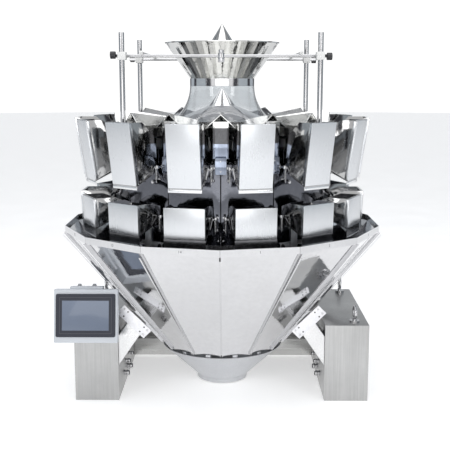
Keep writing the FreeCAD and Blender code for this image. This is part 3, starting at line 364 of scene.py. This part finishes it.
# ---------------------------------------------------------------- lifting eyes and round connectors
# Forged eye bolts, polished, screwed into the box tops; bayonet connectors with knurled rings on the
# inner faces, where the panel and the bagger plug in.
polished_bar = steel("polished_bar_stainless", (0.58, 0.58, 0.59), (0.06, 0.16), (40, 40, 300), 0.000001)
nodes["eye_bolts"].data.materials.clear()
nodes["eye_bolts"].data.materials.append(polished_bar)

black_moulding = matte("black_moulding", (0.025, 0.025, 0.028), 0.45, 900.0, 0.00006)
connectors = bmesh.new()
inserts = bmesh.new()
for along, level, size in ((-0.118, 0.052, 0.012), (-0.070, 0.088, 0.0096), (-0.012, 0.046, 0.012),
                           (0.040, 0.084, 0.0084)):
    foot = Vector((base_inner, along, level))
    rod(connectors, foot, foot + Vector((-0.004, 0, 0)), size, 6, 0.0006)
    rod(connectors, foot + Vector((-0.004, 0, 0)), foot + Vector((-0.009, 0, 0)), size * 0.8, 20)
    rod(connectors, foot + Vector((-0.009, 0, 0)), foot + Vector((-0.019, 0, 0)), size * 0.95, 28, 0.0008)
    rod(inserts, foot + Vector((-0.0185, 0, 0)), foot + Vector((-0.0215, 0, 0)), size * 0.72, 20, 0.0006)
both_sides(connectors)
both_sides(inserts)
connector_bodies = piece("round_connectors", connectors, polished_bar)
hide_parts("cable_connectors")
piece("connector_inserts", inserts, black_moulding)

# ---------------------------------------------------------------- outlet cone
# Spun from 2 mm sheet and bead blasted, with a rolled rim and a short neck for the bagger; fourteen
# welded tabs hang it on the chutes.


def turned_shape(outline, steps=112, closed=True):
    """Spins an outline of (radius, height) points about the machine's axis."""
    shape = bmesh.new()
    points = [shape.verts.new((radius, 0, level)) for radius, level in outline]
    pairs = list(zip(points, points[1:])) + ([(points[-1], points[0])] if closed else [])
    lines = [shape.edges.new(pair) for pair in pairs]
    bmesh.ops.spin(shape, geom=points + lines, cent=(0, 0, 0), axis=(0, 0, 1), dvec=(0, 0, 0),
                   angle=math.tau, steps=steps, use_merge=True, use_duplicate=False)
    bmesh.ops.remove_doubles(shape, verts=shape.verts, dist=0.00001)
    bmesh.ops.recalc_face_normals(shape, faces=shape.faces)
    return shape


HEADS = 14


def set_round(shape, start):
    """Repeats what is drawn along +X for every head, the first one `start` pitches round from the front."""
    drawn = list(shape.verts) + list(shape.edges) + list(shape.faces)
    for head in range(1, HEADS):
        copy = bmesh.ops.duplicate(shape, geom=drawn)["geom"]
        bmesh.ops.rotate(shape, cent=(0, 0, 0), matrix=Matrix.Rotation(math.tau * head / HEADS, 3, "Z"),
                         verts=[item for item in copy if isinstance(item, bmesh.types.BMVert)])
    bmesh.ops.rotate(shape, cent=(0, 0, 0), verts=shape.verts,
                     matrix=Matrix.Rotation(math.tau * start / HEADS - math.pi / 2, 3, "Z"))


blasted_steel = steel("blasted_cone_stainless", (0.62, 0.63, 0.65), (0.34, 0.44), (220, 220, 220),
                      0.00003, 0.0006, 0.1)
outlet_shape = turned_shape([(0.102, 0.004), (0.104, 0.004), (0.104, 0.018), (0.1055, 0.021),
                             (0.2465, 0.1535), (0.2475, 0.1548), (0.2466, 0.1562), (0.2448, 0.1558),
                             (0.1037, 0.0225), (0.102, 0.019)])
tabs = bmesh.new()
block(tabs, (0.2373, -0.010, 0.147), (0.2408, 0.010, 0.173), 0.0012)
set_round(tabs, 0.5)
tab_mesh = bpy.data.meshes.new("outlet_tabs")
tabs.to_mesh(tab_mesh)
tabs.free()
outlet_shape.from_mesh(tab_mesh)
bpy.data.meshes.remove(tab_mesh)
outlet = piece("outlet_cone_spun", outlet_shape, blasted_steel)
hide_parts("outlet_cone")

# ---------------------------------------------------------------- discharge chutes
# Fourteen mirror-polished trapezoid panels with an upright band at the rim and hemmed side edges. A
# small engraved number on each band says which head it belongs to.
mirror_sheet = steel("mirror_sheet_stainless", (0.70, 0.70, 0.71), (0.03, 0.10), (60, 60, 60), 0.000004,
                     0.0012, 0.06)
nodes["chute_panels"].data.materials.clear()
nodes["chute_panels"].data.materials.append(mirror_sheet)

# A bright capping strip is pushed over every pair of hems.
caps = bmesh.new()
cap_top, cap_low = Vector((0.6403, 0, 0.6335)), Vector((0.2625, 0, 0.1790))
slope = math.atan2(cap_top.x - cap_low.x, cap_top.z - cap_low.z)
block(caps, (0.0042, -0.0030, 0), (0.0062, 0.0030, (cap_top - cap_low).length), 0.0008, 3)
bmesh.ops.rotate(caps, cent=(0, 0, 0), matrix=Matrix.Rotation(slope, 3, "Y"), verts=caps.verts)
bmesh.ops.translate(caps, vec=cap_low, verts=caps.verts)
set_round(caps, 0.0)
cap_steel = steel("bright_cap_stainless", (0.64, 0.64, 0.65), (0.10, 0.18), (200, 200, 200), 0.00001,
                  0.0004, 0.05)
piece("hem_capping_strips", caps, cap_steel)

engraving = matte("engraved_number_grey", (0.18, 0.18, 0.19), 0.5, 200.0, 0.00002)
band_radius = 0.636 * math.cos(math.pi / HEADS)
numbers = bmesh.new()
for head in range(HEADS):
    writing = bpy.data.curves.new("head_number", "FONT")
    writing.body = "%d" % (head + 1)
    writing.size = 0.014
    writing.align_x = "CENTER"
    writing.align_y = "CENTER"
    writing.extrude = 0.0002
    holder = bpy.data.objects.new("head_number", writing)
    scene.collection.objects.link(holder)
    bpy.context.view_layer.update()
    letters = bpy.data.meshes.new_from_object(holder.evaluated_get(bpy.context.evaluated_depsgraph_get()))
    bpy.data.objects.remove(holder)
    outward = math.tau * (head + 0.5) / HEADS - math.pi / 2
    letters.transform(Matrix.Rotation(outward, 4, "Z") @ Matrix.Translation((band_radius, 0, 0.655))
                      @ Matrix.Rotation(math.pi / 2, 4, "Z") @ Matrix.Rotation(math.pi / 2, 4, "X"))
    numbers.from_mesh(letters)
    bpy.data.meshes.remove(letters)
piece("head_numbers", numbers, engraving)

# ---------------------------------------------------------------- body drum, lid and drive units
# A welded drum with one flat for every drive, under a turned lid. Each drive is a folded housing with
# a mirror-polished splash plate that meets its neighbours, held by four screws.
drum_steel = steel("polished_drum_stainless", (0.55, 0.55, 0.56), (0.12, 0.24), (8, 8, 160), 0.00002,
                   0.001, 0.2)
for node in ("body_drum", "body_lid"):
    nodes[node].data.materials.clear()
    nodes[node].data.materials.append(drum_steel)
# The drive housings' polished steel is coloured far darker than bare stainless: painted shade of the recess
# behind the hoppers.
shaded_splash_steel = steel("painted_shade_splash_stainless", (0.14, 0.145, 0.165), (0.05, 0.14), (90, 90, 90), 0.00001,
                     0.0012, 0.15)
drives = piece("drive_housings", rounded_copy("drive_units", 0.0008), shaded_splash_steel)
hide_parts("drive_units")

drive_front = 0.430
drive_screws = bmesh.new()
for side in (-1, 1):
    for level in (0.662, 0.905):
        button_screw(drive_screws, (drive_front, side * 0.088, level), (1, 0, 0), 0.0038)
    for level in (0.700, 0.868):
        shaft = Vector((drive_front, side * 0.030, level))
        rod(drive_screws, shaft, shaft + Vector((0.010, 0, 0)), 0.007, 18, 0.0008)
set_round(drive_screws, 0.5)
piece("drive_screws_and_shafts", drive_screws, polished_bar)

# ---------------------------------------------------------------- load cells
# Machined aluminium bar cells under the drives, waisted where the strain gauges sit, each with an
# upright arm that the weigh hopper hangs on.
machined_aluminium = steel("machined_aluminium", (0.70, 0.71, 0.72), (0.28, 0.38), (220, 220, 40), 0.00002)
cells = piece("bar_load_cells", rounded_copy("load_cells", 0.0015), machined_aluminium)
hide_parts("load_cells")
gauge_seals = bmesh.new()
for side in (-1, 1):
    for reach in (0.365, 0.392):
        spot = Vector((reach, side * 0.0148, 0.618))
        rod(gauge_seals, spot, spot + Vector((0, side * 0.0012, 0)), 0.0105, 20, 0.0004)
set_round(gauge_seals, 0.5)
piece("gauge_seals", gauge_seals, black_moulding)

# ---------------------------------------------------------------- hoppers
# Welded 2 mm sheet buckets, polished at the sides, hung by a hook at the back. The front wears a
# satin cover plate folded round the edges.
hopper_steel = steel("polished_hopper_stainless", (0.45, 0.45, 0.45), (0.05, 0.14), (90, 90, 90), 0.00001,
                     0.0010, 0.12)
cover_steel = steel("satin_cover_stainless", (0.67, 0.685, 0.705), (0.25, 0.28), (260, 260, 6),
                    0.000002, 0.0003, 0.02)


def hopper_ring(ring, top_radius, top_level, low_radius, low_level, width):
    """The shells and folded cover plates of one ring of hoppers."""
    shells = piece(ring + "_hopper_shells", rounded_copy(ring + "_hoppers", 0.0005), hopper_steel)
    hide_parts(ring + "_hoppers")
    lean = math.atan2(top_radius - low_radius, top_level - low_level)
    length = math.hypot(top_radius - low_radius, top_level - low_level)
    half = width / 2 + 0.0012
    covers = bmesh.new()
    block(covers, (0.0002, -half, 0.001), (0.0016, half, length - 0.0005), 0.0010, 3)
    for side in (-1, 1):
        inner, outer = sorted((side * (half - 0.0010), side * half))
        block(covers, (-0.013, inner, 0.004), (0.0006, outer, length - 0.004), 0.0004)
    block(covers, (-0.008, -half + 0.001, length - 0.0014), (0.0004, half - 0.001, length - 0.0002), 0.0005)
    bmesh.ops.rotate(covers, cent=(0, 0, 0), matrix=Matrix.Rotation(lean, 3, "Y"), verts=covers.verts)
    bmesh.ops.translate(covers, vec=(low_radius, 0, low_level), verts=covers.verts)
    set_round(covers, 0.5)
    piece(ring + "_hopper_covers", covers, cover_steel)


hopper_ring("weigh", 0.564, 0.798, 0.560, 0.687, 0.146)
hopper_ring("feed", 0.583, 1.088, 0.551, 0.864, 0.117)

# ---------------------------------------------------------------- gates
# Each hopper's floor is a bent polished plate with an ear at each side on the hopper's pins. The
# lower ring's gates are coloured much darker than the upper ring's: painted shade. A bright edging strip is
# spot-welded along every lip.
gate_steel = steel("polished_gate_stainless", (0.60, 0.60, 0.61), (0.05, 0.14), (90, 90, 90), 0.00001,
                   0.0008, 0.1)
# A darkened copy of the gate steel for the lower ring's gates: painted shade.
shaded_weigh_gate_steel = steel("dark_gate_stainless", (0.20, 0.20, 0.21), (0.10, 0.22), (90, 90, 90), 0.00001,
                  0.0008, 0.2)
edge_steel = steel("bright_edge_stainless", (0.84, 0.85, 0.86), (0.20, 0.30), (200, 200, 200), 0.000004,
                   0.0002, 0.04)
lip_edges = {"feed": (0.550, 0.8505, 0.8600, 0.0600), "weigh": (0.559, 0.6515, 0.6560, 0.0740)}
for head in range(1, HEADS + 1):
    for ring, finish in (("feed", gate_steel), ("weigh", shaded_weigh_gate_steel)):
        gate = nodes["%s_gate_%02d" % (ring, head)]
        gate.data.materials.clear()
        gate.data.materials.append(finish)
        out, low, high, half = lip_edges[ring]
        edge = bmesh.new()
        block(edge, (out - 0.0004, -half, low), (out + 0.0014, half, high), 0.0005)
        bmesh.ops.rotate(edge, cent=(0, 0, 0), verts=edge.verts,
                         matrix=Matrix.Rotation(math.tau * (head - 0.5) / HEADS - math.pi / 2, 3, "Z"))
        piece("%s_gate_edge_%02d" % (ring, head), edge, edge_steel,
              body="%s_gate_%02d" % (ring, head))

# ---------------------------------------------------------------- push rods, levers and springs
# Two push rods reach out of every drive beside each hopper. Each has a bell-crank lever of 3 mm
# plate on turned bosses, and a coil spring that pulls the gate shut.
linkage = bmesh.new()
springs = bmesh.new()


def coil_spring(shape, top, length, radius, wire, turns, steps=9):
    """A closing spring: a wire ring spun upwards, with a straight hook at each end."""
    top = Vector(top)
    body = 0.7 * length
    start = top - Vector((0, 0, 0.15 * length))
    spot = Matrix.Translation(start + Vector((radius, 0, 0))) @ Matrix.Rotation(math.pi / 2, 4, "X")
    ring = bmesh.ops.create_circle(shape, cap_ends=False, segments=5, radius=wire, matrix=spot)["verts"]
    lines = list({edge for vert in ring for edge in vert.link_edges})
    count = turns * steps
    bmesh.ops.spin(shape, geom=ring + lines, cent=start, axis=(0, 0, 1), dvec=(0, 0, -body / count),
                   angle=math.tau * turns, steps=count, use_merge=False, use_duplicate=False)
    rod(shape, top, start, wire * 0.9, 6)
    rod(shape, start - Vector((0, 0, body)), top - Vector((0, 0, length)), wire * 0.9, 6)


feed_half_width, weigh_half_width, beside = 0.0585, 0.073, 0.0135
lever_reach, lever_turn = 0.031, math.radians(24)
for half_width, level in ((feed_half_width, 0.926), (weigh_half_width, 0.747)):
    for side in (-1, 1):
        root = Vector((drive_front, side * (half_width + beside), level))
        rod(linkage, root, root + Vector((0.006, 0, 0)), 0.0062, 6, 0.0005)
        rod(linkage, root + Vector((0.006, 0, 0)), root + Vector((0.030, 0, 0)), 0.0036, 14)
        rod(linkage, root + Vector((0.027, 0, -0.0062)), root + Vector((0.027, 0, 0.0062)), 0.0052, 14,
            0.0006)
        lever = block(linkage, (-0.0045, -0.0015, -0.052), (0.0045, 0.0015, 0.003), 0.0012)
        bmesh.ops.rotate(linkage, cent=(0, 0, 0), matrix=Matrix.Rotation(lever_turn, 3, "Y"), verts=lever)
        bmesh.ops.translate(linkage, vec=root + Vector((lever_reach, -side * 0.0035, 0)), verts=lever)
        foot = root + Vector((lever_reach - 0.0195, 0, -0.044))
        rod(linkage, foot + Vector((0, -0.0045, 0)), foot + Vector((0, 0.0045, 0)), 0.0055, 14, 0.0006)
        rod(linkage, Vector((drive_front, foot.y, foot.z)), foot, 0.0030, 10)
        coil_spring(springs, root + Vector((0.032, 0, 0.004)), 0.060, 0.0046, 0.0009, 11)
bmesh.ops.holes_fill(springs, edges=[line for line in springs.edges if line.is_boundary])
bmesh.ops.recalc_face_normals(springs, faces=springs.faces)
set_round(linkage, 0.5)
set_round(springs, 0.5)
levers = piece("push_rods_and_levers", linkage, polished_bar)
spring_steel = steel("spring_wire", (0.62, 0.62, 0.63), (0.15, 0.25), (400, 400, 400), 0.00001)
piece("closing_springs", springs, spring_steel, crease=80.0)
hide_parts("gate_links")

# ---------------------------------------------------------------- feeder pans, vibrators and ridges
# Open troughs of fine-patterned sheet on sprung electromagnets, with folded ridges between them that
# shed the product to either side. A box guard closes the gap under each ridge's outer end.
patterned_steel = steel("patterned_pan_stainless", (0.74, 0.74, 0.72), (0.18, 0.28), (120, 120, 120),
                        0.00015, 0.0006, 0.12)
nodes["feeder_pans"].data.materials.clear()
nodes["feeder_pans"].data.materials.append(patterned_steel)
coils = piece("pan_vibrators", rounded_copy("vibrators", 0.0008), machined_aluminium)
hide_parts("vibrators")
ridge_steel = steel("polished_ridge_stainless", (0.78, 0.78, 0.77), (0.08, 0.18), (90, 90, 90), 0.00001,
                    0.0008, 0.1)
ridge_shape = rounded_copy("pan_dividers", 0.0006)
guard_shade_level, ridge_base = 1.011, 1.0677
for height in (guard_shade_level, ridge_base):
    everything = list(ridge_shape.verts) + list(ridge_shape.edges) + list(ridge_shape.faces)
    bmesh.ops.bisect_plane(ridge_shape, geom=everything, dist=0.00001, plane_co=(0, 0, height),
                           plane_no=(0, 0, 1))
# Faces above the upper cut keep the ridge steel and faces between the cuts take the blue guard steel. Faces
# below the lower cut take a darkened copy of the ridge steel: painted shade under the ridge's outer end.
for face in ridge_shape.faces:
    level = face.calc_center_median().z
    face.material_index = 0 if level > ridge_base else 1 if level > guard_shade_level else 2
ridges = piece("folded_ridges", ridge_shape, ridge_steel)
# A darkened copy of the ridge steel: painted shade on the guards' lower part.
painted_shade_guard_steel = steel("painted_shade_guard_stainless", (0.10, 0.10, 0.105), (0.08, 0.18), (90, 90, 90), 0.00001,
                   0.0008, 0.2)
blue_guard = steel("blued_guard_stainless", (0.42, 0.47, 0.58), (0.04, 0.10), (34, 34, 3), 0.0004, 0.0012,
                   0.5)
ridges.data.materials.append(painted_shade_guard_steel)
ridges.data.materials.append(blue_guard)
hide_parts("pan_dividers")

# ---------------------------------------------------------------- guard aprons
# Under each ridge guard a small bright apron is folded out over the seam of the splash plates and held
# by two screws.
apron_out, apron_half, apron_low, apron_high = 0.4445, 0.0205, 0.903, 0.962
aprons = bmesh.new()
block(aprons, (apron_out - 0.002, -apron_half, apron_low), (apron_out, apron_half, apron_high), 0.0006)
block(aprons, (0.4303, -apron_half, apron_high - 0.0018), (apron_out - 0.0005, apron_half, apron_high),
      0.0004)
set_round(aprons, 0.0)
piece("guard_aprons", aprons, blue_guard)
apron_screws = bmesh.new()
for level in (0.914, 0.950):
    button_screw(apron_screws, (apron_out, 0, level), (1, 0, 0), 0.003)
set_round(apron_screws, 0.0)
piece("apron_screws", apron_screws, screw_steel)

# ---------------------------------------------------------------- dispersion cone
# Spun stainless, mirror polished, with a steeper crown welded on; it shakes on the central vibrator.
cone_shape = turned_shape([(0, 1.204), (0.004, 1.2005), (0.052, 1.1345), (0.056, 1.1322),
                           (0.188, 1.0772), (0.190, 1.0758), (0.1896, 1.0735), (0.187, 1.0732),
                           (0.055, 1.1285), (0.049, 1.131), (0.020, 1.131), (0.020, 1.061),
                           (0, 1.061)], closed=False)
cone = piece("dispersion_cone_spun", cone_shape, mirror_sheet, body="dispersion_cone")
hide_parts("dispersion_cone")

# ---------------------------------------------------------------- bell hood and collar
# A clear polycarbonate hood, vacuum formed, that hangs from a polished collar and keeps the product
# on the cone.
clear_hood = bpy.data.materials.new("clear_polycarbonate")
clear_hood.use_nodes = True
hood_tree = clear_hood.node_tree
hood_shader = hood_tree.nodes["Principled BSDF"]
hood_shader.inputs["Transmission Weight"].default_value = 1.0
hood_shader.inputs["IOR"].default_value = 1.45
hood_place = hood_tree.nodes.new("ShaderNodeTexCoord")
haze = hood_tree.nodes.new("ShaderNodeTexNoise")
haze.inputs["Scale"].default_value = 14.0
haze.inputs["Detail"].default_value = 5.0
hood_tree.links.new(hood_place.outputs["Object"], haze.inputs["Vector"])
haze_gloss = hood_tree.nodes.new("ShaderNodeMapRange")
haze_gloss.inputs["To Min"].default_value = 0.0
haze_gloss.inputs["To Max"].default_value = 0.08
hood_tree.links.new(haze.outputs["Fac"], haze_gloss.inputs["Value"])
hood_tree.links.new(haze_gloss.outputs["Result"], hood_shader.inputs["Roughness"])
haze_tint = hood_tree.nodes.new("ShaderNodeValToRGB")
haze_tint.color_ramp.elements[0].color = (0.95, 0.97, 0.98, 1)
haze_tint.color_ramp.elements[1].color = (0.985, 0.99, 0.995, 1)
hood_tree.links.new(haze.outputs["Fac"], haze_tint.inputs["Fac"])
hood_tree.links.new(haze_tint.outputs["Color"], hood_shader.inputs["Base Color"])

neck_radius, neck_level, hood_foot, arc_steps = 0.129, 1.212, 1.0786, 18
flare, drop, wall = 0.071, 0.134, 0.003
bend = (flare ** 2 + drop ** 2) / (2 * flare)
sweep = math.asin(drop / bend)
turns = [sweep * step / arc_steps for step in range(arc_steps + 1)]
inner_wall = [(neck_radius + bend - bend * math.cos(turn), neck_level - bend * math.sin(turn))
              for turn in turns]
outer_wall = [(neck_radius + bend - (bend + wall) * math.cos(turn),
               max(hood_foot, neck_level - (bend + wall) * math.sin(turn))) for turn in turns]
hood_lip = [(0.2055, 1.0780), (0.2060, 1.0770), (0.2055, 1.0750), (0.1985, 1.0752)]
hood_shape = turned_shape(inner_wall + hood_lip + outer_wall[:-1][::-1])
hood = piece("bell_hood", hood_shape, clear_hood)
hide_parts("bell_skirt")

collar_shape = turned_shape([(0.124, 1.2125), (0.1285, 1.212), (0.129, 1.2125), (0.129, 1.2405),
                             (0.1285, 1.241), (0.124, 1.241)])
collar = piece("funnel_collar_ring", collar_shape, mirror_sheet)
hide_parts("funnel_collar")

# ---------------------------------------------------------------- infeed funnel and spike
# The funnel is braked from one sheet in narrow flats and mirror polished, with a small turned lip. A
# pointed cap on three spokes breaks the fall of the product.
funnel_steel = steel("mirror_funnel_stainless", (0.62, 0.62, 0.61), (0.02, 0.08), (60, 60, 60), 0.000004,
                     0.0010, 0.05)
funnel_shape = turned_shape([(0.126, 1.2412), (0.128, 1.2412), (0.2235, 1.3768), (0.2278, 1.3772),
                             (0.2280, 1.3808), (0.2222, 1.3810)], steps=56)
funnel = piece("braked_funnel", funnel_shape, funnel_steel, crease=4.0)
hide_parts("infeed_funnel")
spike_shape = turned_shape([(0, 1.455), (0.0035, 1.4502), (0.0415, 1.3892), (0.0420, 1.3878),
                            (0.0412, 1.3868), (0.0252, 1.358), (0.007, 1.328), (0.007, 1.288),
                            (0, 1.288)], closed=False)
for spoke in range(3):
    arm = block(spike_shape, (0.004, -0.002, 1.2885), (0.1655, 0.002, 1.2998), 0.0005)
    bmesh.ops.rotate(spike_shape, cent=(0, 0, 0),
                     matrix=Matrix.Rotation(math.radians(120 * spoke + 30), 3, "Z"),
                     verts=arm)
spike = piece("pointed_cap_and_spokes", spike_shape, funnel_steel)
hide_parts("infeed_spike")

# ---------------------------------------------------------------- posts, rail, clamps and sensor
# Bright drawn bar throughout. The rail's rods are pinched in split clamps of white nylon, and the
# level sensor is a turned barrel that looks down into the funnel.
nodes["frame_posts"].data.materials.clear()
nodes["frame_posts"].data.materials.append(polished_bar)
post_x, post_y, rail_level, rail_y = 0.3610, 0.3050, 1.322, 0.2810
rail_shape = bmesh.new()
for side in (-1, 1):
    rod(rail_shape, (-0.403, side * rail_y, rail_level), (0.403, side * rail_y, rail_level), 0.006, 20,
        0.0008)
    rod(rail_shape, (side * 0.293, -rail_y, rail_level + 0.011), (side * 0.293, rail_y, rail_level + 0.011),
        0.005, 20, 0.0008)
piece("rail_rods", rail_shape, polished_bar, body="rail")

white_nylon = matte("white_nylon", (0.80, 0.80, 0.79), 0.4, 500.0, 0.00004)
clamp_shape = bmesh.new()
clamp_bolts = bmesh.new()
for side in (-1, 1):
    for front in (-1, 1):
        corner = Vector((side * post_x, front * (post_y - 0.012), rail_level))
        block(clamp_shape, corner - Vector((0.015, 0.025, 0.015)), corner + Vector((0.015, 0.025, 0.0145)),
              0.0025, 3)
        bolt = corner + Vector((0, -front * 0.002, 0.0140))
        rod(clamp_bolts, bolt, bolt + Vector((0, 0, 0.0010)), 0.0040, 6, 0.0003)
        rod(clamp_shape, (side * 0.293, front * (rail_y - 0.004), rail_level - 0.001),
            (side * 0.293, front * (rail_y + 0.004), rail_level + 0.017), 0.0075, 6, 0.0006)
clamps = piece("split_clamps", clamp_shape, white_nylon, body="rail")
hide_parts("level_rail")
piece("clamp_bolts", clamp_bolts, screw_steel, body="rail")

grey_moulding = matte("grey_moulding", (0.36, 0.37, 0.39), 0.4, 700.0, 0.00005)
sensor_shape = bmesh.new()
rod(sensor_shape, (0, -rail_y, rail_level - 0.023), (0, -rail_y, rail_level + 0.010), 0.012, 32, 0.0012)
rod(sensor_shape, (0, -rail_y, rail_level + 0.010), (0, -rail_y, rail_level + 0.0228), 0.0095, 24, 0.0015)
sensor = piece("level_sensor_barrel", sensor_shape, polished_bar, body="rail")
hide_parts("level_sensor")

# ---------------------------------------------------------------- clamp knobs
# Five-lobed hand knobs moulded in black nylon over a steel insert.
knob_radius, knob_depth, clamp_half, neck = 0.0165, 0.0195, 0.0154, 0.0070
for number, (side, front) in enumerate(((1, -1), (1, 1), (-1, 1), (-1, -1)), start=1):
    knob = bmesh.new()
    rim = bmesh.ops.create_circle(knob, cap_ends=True, segments=10, radius=knob_radius)["verts"]
    waist = [vert for vert in rim if round(math.degrees(math.atan2(vert.co.y, vert.co.x)) / 36) % 2]
    bmesh.ops.scale(knob, vec=(0.70, 0.70, 1), verts=waist)
    pulled = bmesh.ops.extrude_face_region(knob, geom=list(knob.faces))["geom"]
    bmesh.ops.translate(knob, vec=(0, 0, knob_depth),
                        verts=[item for item in pulled if isinstance(item, bmesh.types.BMVert)])
    bmesh.ops.recalc_face_normals(knob, faces=knob.faces)
    uprights = [edge for edge in knob.edges if abs(edge.verts[0].co.z - edge.verts[1].co.z) > 0.01]
    bmesh.ops.bevel(knob, geom=uprights, offset=0.0036, offset_type="OFFSET", affect="EDGES", segments=4,
                    profile=0.5, clamp_overlap=True, material=-1)
    rims = [edge for edge in knob.edges if edge.calc_face_angle(0.0) > math.radians(60)]
    bmesh.ops.bevel(knob, geom=rims, offset=0.0016, offset_type="OFFSET", affect="EDGES", segments=3,
                    profile=0.5, clamp_overlap=True, material=-1)
    rod(knob, (0, 0, -0.0068), (0, 0, 0.001), 0.005, 18, 0.0005)
    rod(knob, (0, 0, 0.0190), (0, 0, 0.0202), 0.0065, 20, 0.0004)
    bmesh.ops.rotate(knob, cent=(0, 0, 0), matrix=Matrix.Rotation(math.radians(90 * side), 3, "Y"),
                     verts=knob.verts)
    bmesh.ops.translate(knob, verts=knob.verts,
                        vec=(side * (post_x + clamp_half + neck), front * post_y, rail_level))
    body_name = "clamp_knob_%d" % number
    turned_knob = piece("star_knob_%d" % number, knob, black_moulding, body=body_name)
    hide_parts(body_name)

# ---------------------------------------------------------------- operator panel
# A folded case in silver-white powder coat on a bracket. The touch panel has a dark moulded bezel
# with a fine inner step, and a blue-grey glass display.
silver_paint = matte("silver_white_powder_coat", (0.58, 0.61, 0.65), 0.42, 1200.0, 0.00006)
case = piece("panel_case", rounded_copy("hmi_case", 0.004, 3), silver_paint)
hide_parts("hmi_case")
panel_lean, panel_place = math.radians(11.4), (-0.509, -0.385, 0.262)


def lean_panel(shape):
    """Sets a panel piece, drawn upright, at the panel's place and leans it back."""
    bmesh.ops.rotate(shape, cent=(0, 0, 0), matrix=Matrix.Rotation(-panel_lean, 3, "X"), verts=shape.verts)
    bmesh.ops.translate(shape, vec=panel_place, verts=shape.verts)


def rounded_plate(shape, half_width, low, high, front, back, corner, ease):
    """An upright plate with rounded corners and eased edges."""
    made = block(shape, (-half_width, front, low), (half_width, back, high))
    deep = list({edge for vert in made for edge in vert.link_edges
                 if abs(edge.verts[0].co.y - edge.verts[1].co.y) > 0.5 * (back - front)})
    bmesh.ops.bevel(shape, geom=deep, offset=corner, offset_type="OFFSET", affect="EDGES", segments=5,
                    profile=0.5, clamp_overlap=True, material=-1)
    rims = [edge for edge in shape.edges if edge.is_valid and edge.calc_face_angle(0.0) > math.radians(60)
            and all(abs(vert.co.y - front) < 0.00005 for vert in edge.verts)]
    bmesh.ops.bevel(shape, geom=rims, offset=ease, offset_type="OFFSET", affect="EDGES", segments=3,
                    profile=0.5, clamp_overlap=True, material=-1)


bezel_plastic = matte("dark_bezel_moulding", (0.016, 0.019, 0.032), 0.45, 1500.0, 0.00004)
bezel = bmesh.new()
rounded_plate(bezel, 0.112, 0.022, 0.184, -0.0058, 0.0, 0.006, 0.0018)
lean_panel(bezel)
screen = piece("touch_panel_bezel", bezel, bezel_plastic)
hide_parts("hmi_screen")

inlay = bmesh.new()
rounded_plate(inlay, 0.0985, 0.0345, 0.1715, -0.0062, -0.0050, 0.003, 0.0003)
lean_panel(inlay)
piece("bezel_inlay", inlay, matte("bezel_inlay_grey", (0.060, 0.064, 0.078), 0.45, 1500.0, 0.00002))
field = bmesh.new()
rounded_plate(field, 0.0965, 0.0365, 0.1695, -0.0064, -0.0052, 0.0025, 0.0003)
lean_panel(field)
piece("bezel_field", field, bezel_plastic)

display_glass = bpy.data.materials.new("blue_grey_display")
display_glass.use_nodes = True
glass_tree = display_glass.node_tree
glass_shader = glass_tree.nodes["Principled BSDF"]
glass_shader.inputs["Roughness"].default_value = 0.08
glass_place = glass_tree.nodes.new("ShaderNodeTexCoord")
glass_map = glass_tree.nodes.new("ShaderNodeMapping")
glass_map.inputs["Location"].default_value = (0, 0, -2.2)
glass_map.inputs["Scale"].default_value = (0, 0, 6.8)
glass_tree.links.new(glass_place.outputs["Object"], glass_map.inputs["Vector"])
glass_split = glass_tree.nodes.new("ShaderNodeSeparateXYZ")
glass_tree.links.new(glass_map.outputs["Vector"], glass_split.inputs["Vector"])
glass_shade = glass_tree.nodes.new("ShaderNodeValToRGB")
glass_shade.color_ramp.elements[0].position = 0.0
glass_shade.color_ramp.elements[0].color = (0.135, 0.165, 0.225, 1)
glass_shade.color_ramp.elements[1].position = 0.9
glass_shade.color_ramp.elements[1].color = (0.175, 0.21, 0.28, 1)
glass_tree.links.new(glass_split.outputs["Z"], glass_shade.inputs["Fac"])
glass_tree.links.new(glass_shade.outputs["Color"], glass_shader.inputs["Base Color"])
display = bmesh.new()
rounded_plate(display, 0.088, 0.047, 0.159, -0.0066, -0.0054, 0.001, 0.0002)
lean_panel(display)
piece("display", display, display_glass)

housing = bmesh.new()
block(housing, (-0.062, 0.012, 0.196), (0.062, 0.052, 0.2125), 0.0035, 3)
lean_panel(housing)
piece("panel_gland_housing", housing, silver_paint)
glands = bmesh.new()
for along in (-0.028, 0.028):
    rod(glands, (along, 0.030, 0.2120), (along, 0.030, 0.2155), 0.0095, 6, 0.0006)
    rod(glands, (along, 0.030, 0.2150), (along, 0.030, 0.2215), 0.0070, 20, 0.0020)
lean_panel(glands)
piece("panel_glands", glands, grey_moulding)
